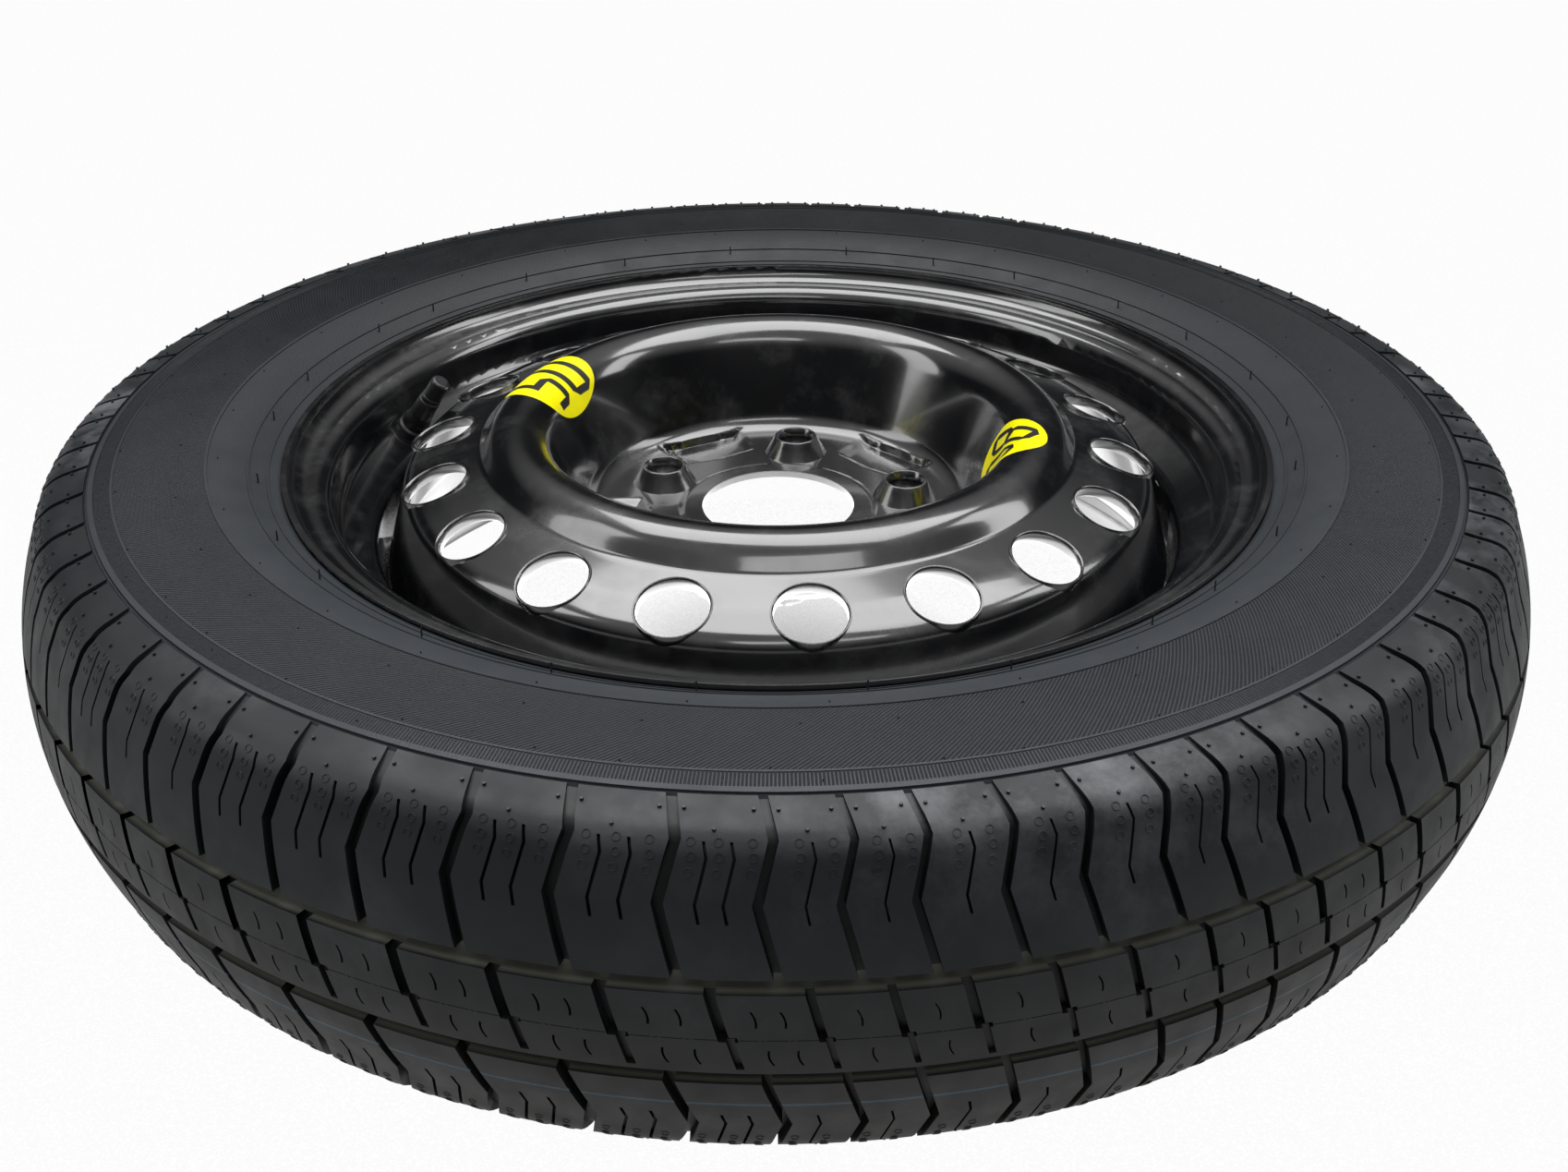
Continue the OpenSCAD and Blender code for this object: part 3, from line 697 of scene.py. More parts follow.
def stub_mesh(name, radius, height, sides, lean=0.0):
    points = []
    for k in range(sides):
        a = 2 * math.pi * k / sides
        points.append((radius * math.cos(a) * MM, radius * math.sin(a) * MM, -0.0003))
    for k in range(sides):
        a = 2 * math.pi * k / sides
        points.append(
            ((radius * 0.8 * math.cos(a) + lean) * MM, radius * 0.8 * math.sin(a) * MM, height * MM),
        )
    faces = [(k, (k + 1) % sides, sides + (k + 1) % sides, sides + k) for k in range(sides)]
    faces.append(tuple(range(sides, 2 * sides)))
    return mesh_object(name, points, faces)


def ring_mesh(name, radius, width, height, sides):
    points = []
    for k in range(sides):
        a = 2 * math.pi * k / sides
        for r, z in ((radius - width, -0.1), (radius - width * 0.5, height),
                     (radius + width * 0.5, height), (radius + width, -0.1)):
            points.append((r * math.cos(a) * MM, r * math.sin(a) * MM, z * MM))
    faces = [
        (4 * k + i, 4 * ((k + 1) % sides) + i, 4 * ((k + 1) % sides) + i + 1, 4 * k + i + 1)
        for k in range(sides)
        for i in range(3)
    ]
    return mesh_object(name, points, faces)


tree, given, found = tree_for(
    "scattered studs", ("Stud", "NodeSocketObject"), ("Rubber", "NodeSocketMaterial"),
)
turned = add(tree, "GeometryNodeInputNamedAttribute", {0: "turned"}, data_type="FLOAT").outputs[0]
tipped = add(tree, "GeometryNodeInputNamedAttribute", {0: "tipped"}, data_type="FLOAT").outputs[0]
rotation = add(tree, "ShaderNodeCombineXYZ", {1: tipped, 2: turned}).outputs[0]
stud = add(tree, "GeometryNodeObjectInfo", {0: given["Stud"]}).outputs["Geometry"]
placed = add(tree, "GeometryNodeInstanceOnPoints", {
    "Points": given["Geometry"], "Instance": stud, "Rotation": rotation,
})
real = add(tree, "GeometryNodeRealizeInstances", {0: placed.outputs[0]}).outputs[0]
painted = add(tree, "GeometryNodeSetMaterial", {0: real, 2: given["Rubber"]}).outputs[0]
add(tree, "NodeGroupOutput", {0: painted})
studs = tree, found


def scatter(name, stud_object, spots, rubber):
    places = []
    turned_by = []
    tipped_by = []
    for angle, p, out in spots:
        places.append((p[0] * MM * math.cos(angle), p[0] * MM * math.sin(angle), (p[1] + MID) * MM))
        turned_by.append(angle)
        tipped_by.append(math.atan2(out[0], out[1]))
    made = grow(point_object("places", places, turned=turned_by, tipped=tipped_by), *studs,
                {"Stud": stud_object, "Rubber": rubber}, name)
    drop(stud_object)
    return made


def on_tread(start, span, u, shift, s):
    way = -1 if s > 0 else 1
    x = u / PITCH if way > 0 else 1 - u / PITCH
    p, out = surface(0, s)
    return math.radians(start + span * x) + way * shift / TYRE_R, p, out


stub_spots = []
ring_spots = []
for start, size in zip(starts, spans):
    centres = CUTS[2 if size > 5.5 else 1]
    for sign in (-1, 1):
        stub_spots.append(on_tread(start, size, 0, 2.0, sign * 79.5))
        stub_spots.append(on_tread(start, size, 0, -6.5, sign * 79.5))
        stub_spots.append(on_tread(start, size, sum(centres) / len(centres), -1.2, sign * 71.5))
        for c, shift in [(c, -4.6) for c in centres] + [(centres[-1], 6.6)]:
            for s, lean in ((67.3, 0.6), (62.7, 1.0), (57.6, 0.1)):
                ring_spots.append(on_tread(start, size, c, shift + lean, sign * s))
stubs = scatter("rubber_stubs", stub_mesh("stub", 0.75, 0.9, 8), stub_spots, hair_rubber)
finish_piece(stubs, "wheel", "tyre", hair_rubber)
rings = scatter("round_marks", ring_mesh("mark", 1.35, 0.24, 0.2, 16), ring_spots, tread_rubber)
finish_piece(rings, "wheel", "tyre", tread_rubber)

hair_spots = []
for r, count in ((291.5, 46), (286.0, 40), (262.0, 36), (246.0, 30), (229.5, 26)):
    for k in range(count):
        angle = 2 * math.pi * (k + rng.uniform(-0.2, 0.2)) / count
        base = Vector((r + rng.uniform(-1, 1), 0))
        base[1] = outer_height(base[0]) - 0.85
        hair_spots.append((angle, base, Vector((0.0, 1.0)) if r > 244 else Vector((-0.35, 0.94))))
short = [spot for spot in hair_spots if spot[1][0] > 244]
long = [spot for spot in hair_spots if spot[1][0] <= 244]
hairs = scatter("sidewall_stubs", stub_mesh("hair", 0.35, 0.75, 6), short, hair_rubber)
finish_piece(hairs, "wheel", "tyre", hair_rubber)
long_hairs = scatter("rubber_hairs", stub_mesh("long_hair", 0.4, 4.2, 6, 1.6), long, hair_rubber)
finish_piece(long_hairs, "wheel", "tyre", hair_rubber)

# Rim: a rolled steel hoop, butt-welded at one place, where the ground weld shows under the paint. The
# paint is a glossy black enamel, baked on, which mirrors the floor and the lights and holds a little dust.
paint, t, s = material(
    "Black enamel on steel, gloss", Roughness=0.17, IOR=1.7, Coat_Weight=1.0, Coat_Roughness=0.08,
)
here = add(t, "ShaderNodeTexCoord").outputs["Object"]
dust = add(t, "ShaderNodeMapRange", {
    0: add(t, "ShaderNodeTexNoise", {"Vector": here, "Scale": 34.0, "Detail": 8.0, "Roughness": 0.7}),
    1: 0.5, 2: 0.8,
}).outputs[0]
film = add(t, "ShaderNodeMapRange", {
    0: add(t, "ShaderNodeTexNoise", {"Vector": here, "Scale": 7.0, "Detail": 3.0, "Roughness": 0.55}),
    1: 0.42, 2: 0.68,
}).outputs[0]
tint = add(t, "ShaderNodeMix", {
    0: add(t, "ShaderNodeMath", {0: film, 1: 0.5}, operation="MULTIPLY"), 6: colour("#0b0c0e"),
    7: colour("#17181b"),
}, data_type="RGBA").outputs[2]
tint = add(t, "ShaderNodeMix", {
    0: add(t, "ShaderNodeMath", {0: dust, 1: 0.14}, operation="MULTIPLY"), 6: tint, 7: colour("#6a6b6c"),
}, data_type="RGBA").outputs[2]
t.links.new(tint, s.inputs["Base Color"])
t.links.new(
    add(t, "ShaderNodeMath", {
        0: add(t, "ShaderNodeMapRange", {
            0: add(t, "ShaderNodeTexNoise", {
                "Vector": here, "Scale": 18.0, "Detail": 4.0, "Roughness": 0.55,
            }),
            1: 0.35, 2: 0.7, 3: 0.13, 4: 0.24,
        }),
        1: add(t, "ShaderNodeMath", {0: dust, 1: 0.18}, operation="MULTIPLY"),
    }, operation="ADD").outputs[0],
    s.inputs["Roughness"],
)
round_edges = add(t, "ShaderNodeBevel", {0: 0.0007}, samples=4).outputs[0]
peel = add(t, "ShaderNodeBump", {
    "Strength": 0.05, "Distance": 0.0003,
    "Height": add(t, "ShaderNodeTexNoise", {
        "Vector": here, "Scale": 160.0, "Detail": 2.0, "Roughness": 0.55,
    }),
    "Normal": round_edges,
})
t.links.new(peel.outputs[0], s.inputs["Normal"])
for name in ("rim", "disc_welds"):
    nodes[name].data.materials.clear()
    nodes[name].data.materials.append(paint)

seam_line = rounded_line(
    [(218.8, 58.6), (218.8, 52.0, 8.6), (201.6, 52.0, 6.3), (200.2, 33.6, 8), (186.5, 24.0)], 8,
)
seam_points = []
for p, q in zip(seam_line, seam_line[1:] + [seam_line[-1] * 2 - seam_line[-2]]):
    lie = (q - p).normalized()
    out = Vector((lie[1], -lie[0])) * -1
    for k, (offset, height) in enumerate(((-2.4, -0.2), (-1.2, 0.22), (1.1, 0.25), (2.3, -0.2))):
        spot = p - out * height
        angle = math.radians(-4) + (offset + 0.3 * math.sin(p[1] * 1.7)) / spot[0]
        seam_points.append(
            (spot[0] * MM * math.cos(angle), spot[0] * MM * math.sin(angle), (spot[1] + MID) * MM),
        )
seam_faces = [
    (4 * k + i, 4 * k + i + 1, 4 * k + i + 5, 4 * k + i + 4)
    for k in range(len(seam_line) - 1)
    for i in range(3)
]
seam = mesh_object("rim_seam", seam_points, seam_faces, 60)
finish_piece(seam, "wheel", "black_paint", paint)

# Disc: one steel pressing in the same black paint. Between the bolt holes it has five pads pressed down
# to the hub, and it rises in a hat with a rolled crest. The vent holes' edges are rolled inwards round
# their rims.
HALF_T = 1.6
line_round = 16 - HALF_T
crest_line = 53.9 - HALF_T
wall_run = (crest_line - 2.4 - HALF_T) / math.tan(math.radians(68))
inner_corner = 117.5 - line_round * math.tan(math.radians(34))
outer_corner = 117.5 + line_round * math.tan(math.radians(25.5))
crease = outer_corner + (53.9 - 42.6) / math.tan(math.radians(51))
disc_points = [
    (35.15, 5.0), (43, 5.0, 2.5), (46, 4.0, 2.5), (inner_corner - wall_run, 4.0, 12),
    (inner_corner, crest_line, line_round), (outer_corner, crest_line, line_round), (crease, 41.0, 6),
    (154, 36.0, 40), (166.8, 30.7, 9), (179.7 - HALF_T, -8.6, 10), (179.7 - HALF_T, -22.6),
]
middle_line = rounded_line(disc_points, 10)
offset_line = []
for i, p in enumerate(middle_line):
    lie = (middle_line[min(i + 1, len(middle_line) - 1)] - middle_line[max(i - 1, 0)]).normalized()
    offset_line.append(p + Vector((-lie[1], lie[0])) * HALF_T)
stations = []
for p, q in zip(offset_line, offset_line[1:]):
    step = 1.1 if q[0] < 93 else 3.0
    cuts = max(1, math.ceil((q - p).length / step))
    stations += [p.lerp(q, i / cuts) for i in range(cuts)]
stations.append(offset_line[-1])
BOLT_TURN = math.radians(81.7)
PAD_TURNS = [BOLT_TURN + math.radians(36 + 72 * k) for k in range(5)]
BOLT_TURNS = [BOLT_TURN + math.radians(72 * k) for k in range(5)]
pad_outline = [
    Vector(p)
    for p in ((-13.5, -15.5), (-15.5, 0), (-13.5, 15.5), (4.5, 18), (5.5, 0), (4.5, -18))
]


def soft_min(x, y, k):
    h = max(k - abs(x - y), 0) / k
    return min(x, y) - h * h * k / 4


def pad_cut(q):
    """Height of a pad's pressed form over its flat bottom, at the point q from the pad's middle."""
    highest = -1.0
    for m in range(6):
        a, b = pad_outline[m], pad_outline[(m + 1) % 6]
        normal = Vector((b[1] - a[1], a[0] - b[0])).normalized()
        if normal.dot(a) < 0:
            normal = -normal
        beyond = normal.dot(q) - normal.dot(a)
        gentle = beyond * 0.62 + 2.5 * max(0.0, beyond - 3) ** 2
        highest = max(highest, beyond * 5.0 if normal[0] > 0.7 else gentle)
    return highest


def disc_height(r, angle, height):
    if r > 112:
        return height
    for turn in PAD_TURNS:
        away = (angle - turn + math.pi) % (2 * math.pi) - math.pi
        if abs(away) < 0.55:
            q = Vector((r * math.cos(away) - 78, r * math.sin(away)))
            rise = pad_cut(q)
            dish = 3.2 - 0.8 * max(0.0, 1 - (q.length / 16) ** 2)
            return soft_min(height, dish + max(0.0, rise), 1.1)
    return height


SIDES = 276
grid = []
for p in stations:
    row = []
    for k in range(SIDES):
        angle = 2 * math.pi * k / SIDES
        row.append(Vector((p[0] * math.cos(angle), p[0] * math.sin(angle), disc_height(p[0], angle, p[1]))))
    grid.append(row)
count = len(stations)
pressed_points = []
for i in range(count):
    for k in range(SIDES):
        pressed_points.append(grid[i][k] * MM)
for i in range(count):
    for k in range(SIDES):
        along_line = grid[min(i + 1, count - 1)][k] - grid[max(i - 1, 0)][k]
        around_line = grid[i][(k + 1) % SIDES] - grid[i][k - 1]
        normal = along_line.cross(around_line).normalized()
        pressed_points.append((grid[i][k] - normal * 2 * HALF_T) * MM)
disc_faces = []
low = count * SIDES
for k in range(SIDES):
    m = (k + 1) % SIDES
    for i in range(count - 1):
        disc_faces.append((i * SIDES + k, (i + 1) * SIDES + k, (i + 1) * SIDES + m, i * SIDES + m))
        disc_faces.append(
            (
                low + i * SIDES + k, low + i * SIDES + m, low + (i + 1) * SIDES + m,
                low + (i + 1) * SIDES + k,
            ),
        )
    disc_faces.append((k, m, low + m, low + k))
    last = (count - 1) * SIDES
    disc_faces.append((last + k, low + last + k, low + last + m, last + m))
disc = mesh_object("disc_pressing", pressed_points, disc_faces, 60)
VENTS = 18
VENT_R = 155.5
VENT_Z = 37.6 - (155.5 - 154) * (37.6 - 32.3) / (166.8 - 154)
TILT = math.radians(20)
vent_turns = [math.radians(-85.4 + 360 * k / VENTS) for k in range(VENTS)]
cut_points = []
cut_faces = []


def cut_round(turn, radius, low_z, high_z, sides):
    base = len(cut_points)
    for z in (low_z, high_z):
        for k in range(sides):
            a = 2 * math.pi * k / sides
            cut_points.append(turn @ Vector((radius * MM * math.cos(a), radius * MM * math.sin(a), z * MM)))
    cut_faces.extend(
        [
            (base + k, base + (k + 1) % sides, base + sides + (k + 1) % sides, base + sides + k)
            for k in range(sides)
        ],
    )
    cut_faces.append(tuple(base + k for k in reversed(range(sides))))
    cut_faces.append(tuple(base + sides + k for k in range(sides)))


for angle in vent_turns:
    at_vent = Matrix.Rotation(angle, 4, "Z") @ Matrix.Translation((VENT_R * MM, 0, VENT_Z * MM)) @ Matrix.Rotation(
        TILT, 4, "Y",
    )
    cut_round(at_vent, 15.6, -12, 8, 64)
for angle in BOLT_TURNS:
    at_bolt = Matrix.Rotation(angle, 4, "Z") @ Matrix.Translation((60.325 * MM, 0, 0))
    cut_round(at_bolt, 9.0, -3, 9, 48)
cutter = mesh_object("cutter", cut_points, cut_faces)
opening = disc.modifiers.new("open", "BOOLEAN")
opening.object = cutter
opening.operation = "DIFFERENCE"
opening.solver = "EXACT"
bpy.context.view_layer.update()
data = bpy.data.meshes.new_from_object(disc.evaluated_get(bpy.context.evaluated_depsgraph_get()))
drop(disc, cutter)
data.shade_smooth()
data.set_sharp_from_angle(angle=math.radians(40))
disc = bpy.data.objects.new("disc_pressing", data)
bpy.context.scene.collection.objects.link(disc)
finish_piece(disc, "wheel", "black_paint", paint, "disc")

# Bolt cones: drawn up out of the disc, each with a flat top, a conical nut seat and a drilled hole, and
# painted with the disc
boss_line = [
    Vector(p)
    for p in ((17.4, 4.2), (16.2, 4.35), (15.3, 4.9), (14.6, 6.0), (12.9, 8.8), (11.2, 11.8))
]
boss_line += arc((11.2, 11.8), (10.0, 14.2), (9.0, 14.2), 0.8, 5)
boss_line += arc((10, 14.2), (9.1, 14.2), (7.25, 10.9), 0.5, 4)
boss_line += [
    Vector(p)
    for p in ((7.25, 10.9), (7.2, 10.5), (7.2, 0.6), (8.5, 0.6), (11.5, 2.0), (17.4, 2.6))
]
boss = revolve("boss", [(p[0], p[1]) for p in boss_line], 64, True, 0, 32)
boss_spots = [(60.325 * MM * math.cos(a), 60.325 * MM * math.sin(a), 0) for a in BOLT_TURNS]
tree, given, found = tree_for("bolt cones", ("Cone", "NodeSocketObject"), ("Paint", "NodeSocketMaterial"))
cone_in = add(tree, "GeometryNodeObjectInfo", {0: given["Cone"]}).outputs["Geometry"]
placed = add(tree, "GeometryNodeInstanceOnPoints", {"Points": given["Geometry"], "Instance": cone_in})
real = add(tree, "GeometryNodeRealizeInstances", {0: placed.outputs[0]}).outputs[0]
painted = add(tree, "GeometryNodeSetMaterial", {0: real, 2: given["Paint"]}).outputs[0]
add(tree, "NodeGroupOutput", {0: painted})
cones = grow(
    point_object("bolts", boss_spots), tree, found, {"Cone": boss, "Paint": paint}, "bolt_cones", 32,
)
drop(boss)
finish_piece(cones, "wheel", "black_paint", paint)

# Rolled edges of the vent holes: the sheet is turned inwards round each hole, which gives a thin bright
# line in the paint
lip = arc((20, 0.25), (14.7, 0.25), (14.7, -8), 1.1, 8)
collar_line = [(16.3, -2.6), (15.9, -0.1)] + [(p[0], p[1]) for p in lip] + [
    (14.7, -4.6), (15.0, -5.2), (16.4, -5.2),
]
collar = revolve("collar", collar_line, 48, True)
tree, given, found = tree_for(
    "vent collars", ("Collar", "NodeSocketObject"), ("Radius", "NodeSocketFloat"),
    ("Height", "NodeSocketFloat"), ("Tilt", "NodeSocketFloat"), ("First turn", "NodeSocketFloat"),
    ("Count", "NodeSocketInt"), ("Paint", "NodeSocketMaterial"),
)
line = add(tree, "GeometryNodeMeshLine", {"Count": given["Count"]}).outputs[0]
index = add(tree, "GeometryNodeInputIndex").outputs[0]
share = add(tree, "ShaderNodeMath", {0: index, 1: given["Count"]}, operation="DIVIDE").outputs[0]
turned = add(tree, "ShaderNodeMath", {
    0: add(tree, "ShaderNodeMath", {0: share, 1: 2 * math.pi}, operation="MULTIPLY"),
    1: given["First turn"],
}, operation="ADD").outputs[0]
spot = add(tree, "ShaderNodeCombineXYZ", {
    0: add(tree, "ShaderNodeMath", {
        0: given["Radius"], 1: add(tree, "ShaderNodeMath", {0: turned}, operation="COSINE"),
    }, operation="MULTIPLY"),
    1: add(tree, "ShaderNodeMath", {
        0: given["Radius"], 1: add(tree, "ShaderNodeMath", {0: turned}, operation="SINE"),
    }, operation="MULTIPLY"),
    2: given["Height"],
})
laid = add(tree, "GeometryNodeSetPosition", {0: line, 2: spot.outputs[0]}).outputs[0]
rotation = add(tree, "ShaderNodeCombineXYZ", {1: given["Tilt"], 2: turned}).outputs[0]
ring_in = add(tree, "GeometryNodeObjectInfo", {0: given["Collar"]}).outputs["Geometry"]
placed = add(tree, "GeometryNodeInstanceOnPoints", {
    "Points": laid, "Instance": ring_in, "Rotation": rotation,
})
real = add(tree, "GeometryNodeRealizeInstances", {0: placed.outputs[0]}).outputs[0]
painted = add(tree, "GeometryNodeSetMaterial", {0: real, 2: given["Paint"]}).outputs[0]
add(tree, "NodeGroupOutput", {0: painted})
collars = grow(
    point_object("vents", [(0, 0, 0)]), tree, found,
    {
        "Collar": collar, "Radius": VENT_R * MM, "Height": VENT_Z * MM, "Tilt": TILT,
        "First turn": vent_turns[0], "Count": VENTS, "Paint": paint,
    },
    "vent_collars",
)
drop(collar)
finish_piece(collars, "wheel", "black_paint", paint)

# Valve: a black rubber snap-in body pulled through the rim, with a turned brass stem, its core, and a
# black nylon screw cap
valve_rubber, t, s = material("Smooth black rubber, valve body", Roughness=0.42, IOR=1.52)
here = add(t, "ShaderNodeTexCoord").outputs["Object"]
t.links.new(
    add(t, "ShaderNodeMix", {
        0: add(t, "ShaderNodeMapRange", {
            0: add(t, "ShaderNodeTexNoise", {
                "Vector": here, "Scale": 120.0, "Detail": 5.0, "Roughness": 0.55,
            }),
            1: 0.4, 2: 0.75,
        }),
        6: colour("#0f1012"), 7: colour("#242527"),
    }, data_type="RGBA").outputs[2],
    s.inputs["Base Color"],
)
bump = add(t, "ShaderNodeBump", {
    "Strength": 0.1, "Distance": 0.0001,
    "Height": add(t, "ShaderNodeTexNoise", {
        "Vector": here, "Scale": 1500.0, "Detail": 2.0, "Roughness": 0.55,
    }),
})
t.links.new(bump.outputs[0], s.inputs["Normal"])
cap_plastic, t, s = material("Black nylon, moulded cap", Roughness=0.34, IOR=1.53)
here = add(t, "ShaderNodeTexCoord").outputs["Object"]
t.links.new(
    add(t, "ShaderNodeMix", {
        0: add(t, "ShaderNodeMapRange", {
            0: add(t, "ShaderNodeTexNoise", {
                "Vector": here, "Scale": 200.0, "Detail": 4.0, "Roughness": 0.55,
            }),
            1: 0.4, 2: 0.7,
        }),
        6: colour("#131416"), 7: colour("#26272a"),
    }, data_type="RGBA").outputs[2],
    s.inputs["Base Color"],
)
t.links.new(add(t, "ShaderNodeBevel", {0: 0.0006}, samples=4).outputs[0], s.inputs["Normal"])
brass, t, s = material("Turned brass", Metallic=1.0, Roughness=0.28)
here = add(t, "ShaderNodeTexCoord").outputs["Object"]
t.links.new(
    add(t, "ShaderNodeMix", {
        0: add(t, "ShaderNodeTexNoise", {"Vector": here, "Scale": 400.0, "Detail": 4.0, "Roughness": 0.55}),
        6: colour("#b9974a"), 7: colour("#8d6f35"),
    }, data_type="RGBA").outputs[2],
    s.inputs["Base Color"],
)
steel, t, s = material("Drawn spring wire, bright", Metallic=1.0, Roughness=0.25)
here = add(t, "ShaderNodeTexCoord").outputs["Object"]
t.links.new(
    add(t, "ShaderNodeMix", {
        0: add(t, "ShaderNodeTexNoise", {"Vector": here, "Scale": 900.0, "Detail": 3.0, "Roughness": 0.55}),
        6: colour("#a9abad"), 7: colour("#8c8e90"),
    }, data_type="RGBA").outputs[2],
    s.inputs["Base Color"],
)
for name, made in (("valve_body", valve_rubber), ("core_gasket", valve_rubber), ("core_seal", valve_rubber),
                   ("valve_cap", cap_plastic), ("valve_stem", brass), ("core_body", brass), ("core_pin", brass),
                   ("core_spring", steel)):
    nodes[name].data.materials.clear()
    nodes[name].data.materials.append(made)

# Decals: two yellow vinyl films stuck over the hat's crest, each with a plain black number printed on it,
# of block digits with cut corners
hat_top = []
for before_it, p, after_it in zip(middle_line, middle_line[1:], middle_line[2:]):
    if 85 < p[0] < 145:
        lie = (after_it - before_it).normalized()
        hat_top.append((p, Vector((-lie[1], lie[0]))))
reaches = [0.0]
for i in range(1, len(hat_top)):
    a = hat_top[i - 1][0] + hat_top[i - 1][1] * HALF_T
    b = hat_top[i][0] + hat_top[i][1] * HALF_T
    reaches.append(reaches[-1] + (b - a).length)
crest_at = reaches[max(range(len(hat_top)), key=lambda i: hat_top[i][0][1] + HALF_T * hat_top[i][1][1])]


def on_hat(azimuth, along_mm, across_mm, over):
    """A point across_mm round from an azimuth, along_mm out from the crest and over mm above the paint."""
    want = crest_at + along_mm
    i = max(
        0,
        min(len(reaches) - 2, next((k - 1 for k, x in enumerate(reaches) if x > want), len(reaches) - 2)),
    )
    share = (want - reaches[i]) / max(reaches[i + 1] - reaches[i], 1e-9)
    p = hat_top[i][0].lerp(hat_top[i + 1][0], share)
    n = hat_top[i][1].lerp(hat_top[i + 1][1], share).normalized()
    q = p + n * (HALF_T + over)
    angle = azimuth + across_mm / q[0]
    return (q[0] * MM * math.cos(angle), q[0] * MM * math.sin(angle), q[1] * MM)


vinyl, t, s = material("Yellow vinyl film, gloss", Roughness=0.32, IOR=1.5)
here = add(t, "ShaderNodeTexCoord").outputs["Object"]
t.links.new(
    add(t, "ShaderNodeMix", {
        0: add(t, "ShaderNodeMapRange", {
            0: add(t, "ShaderNodeTexNoise", {
                "Vector": here, "Scale": 90.0, "Detail": 4.0, "Roughness": 0.55,
            }),
            1: 0.35, 2: 0.75,
        }),
        6: colour("#fff600"), 7: colour("#f1e500"),
    }, data_type="RGBA").outputs[2],
    s.inputs["Base Color"],
)
ink, t, s = material("Black printing ink, satin", Roughness=0.45)
here = add(t, "ShaderNodeTexCoord").outputs["Object"]
t.links.new(
    add(t, "ShaderNodeMix", {
        0: add(t, "ShaderNodeTexNoise", {"Vector": here, "Scale": 500.0, "Detail": 3.0, "Roughness": 0.55}),
        6: colour("#101010"), 7: colour("#242420"),
    }, data_type="RGBA").outputs[2],
    s.inputs["Base Color"],
)


def strokes(digit, wide, tall, pen):
    """Bars of a plain block digit with cut corners, as flat outlines that meet without overlapping."""
    x, y, c = wide / 2, tall / 2, pen
    bars = []
    rows = {"top": (y - pen, y), "middle": (-pen / 2, pen / 2), "bottom": (-y, -y + pen)}
    for low, high in rows.values() if digit in "58" else (rows["top"], rows["bottom"]):
        left = -x + c if digit != "5" or high != y else -x
        right = x - c if digit != "5" or high != y else x
        if digit == "5" and high == pen / 2:
            left = -x
        bars.append([(left, low), (right, low), (right, high), (left, high)])
    spans = []
    for side in (-1, 1):
        halves = ((pen / 2, y - pen), (-y + pen, -pen / 2)) if digit != "0" else ((-y + pen, y - pen),)
        for low, high in halves:
            if digit == "5" and ((side == 1 and low > 0) or (side == -1 and low < 0)):
                continue
            spans.append((side, low, high))
    for side, low, high in spans:
        inner, edge = side * (x - pen), side * x
        bars.append([(inner, low), (edge, low), (edge, high), (inner, high)] if side > 0
                    else [(edge, low), (inner, low), (inner, high), (edge, high)])
        for at, way in ((low, -1), (high, 1)):
            if digit == "5" and side == -1 and (way == 1 or at == pen / 2):
                continue
            bars.append([(edge, at), (edge - side * c, at + way * c), (edge - side * c, at)])
    return bars


def decal(name, azimuth, centre, wide, tall, slant, text, stands_for):
    turn = Matrix.Rotation(math.radians(slant), 2)
    points = []
    faces = []
    rings = 22
    sides = 96
    for k in range(rings + 1):
        for m in range(sides):
            a = 2 * math.pi * m / sides
            x, y = turn @ Vector((wide * k / rings * math.cos(a), tall * k / rings * math.sin(a)))
            points.append(on_hat(azimuth, centre + y, x, 0.12 if k < rings else 0.02))
    for k in range(rings):
        for m in range(sides):
            faces.append(
                (
                    k * sides + m, (k + 1) * sides + m, (k + 1) * sides + (m + 1) % sides,
                    k * sides + (m + 1) % sides,
                ),
            )
    film = mesh_object(name, points, faces, 60)
    finish_piece(film, "wheel", "decal", vinyl, stands_for)
    work = bmesh.new()
    for place_at, digit in zip((-9.6, 9.6), text):
        for outline in strokes(digit, 15.4, 34.0, 3.9):
            corners = [work.verts.new((x + place_at, y, 0)) for x, y in outline]
            work.faces.new(corners)
    for k in range(-20, 21):
        for axis in ((0, 1, 0), (1, 0, 0)):
            geometry = list(work.verts) + list(work.edges) + list(work.faces)
            bmesh.ops.bisect_plane(work, geom=geometry, plane_co=Vector(axis) * k, plane_no=axis)
    bmesh.ops.triangulate(work, faces=list(work.faces))
    for v in work.verts:
        spot = turn @ Vector((-v.co.x * wide / 25, v.co.y * tall / 25 - 0.8))
        v.co = on_hat(azimuth, centre + spot[1], spot[0], 0.16)
    number_mesh = bpy.data.meshes.new(name + "_number")
    work.to_mesh(number_mesh)
    work.free()
    number_mesh.shade_smooth()
    number = bpy.data.objects.new(name + "_number", number_mesh)
    bpy.context.scene.collection.objects.link(number)
    finish_piece(number, "wheel", "decal", ink)


decal("decal_film_50", math.radians(159.0), -1.6, 25.2, 25.2, 0, "50", "decal_50")
decal("decal_film_80", math.radians(-10.9), -19.7, 18.5, 29, 43, "80", "decal_80")
drop(profile)

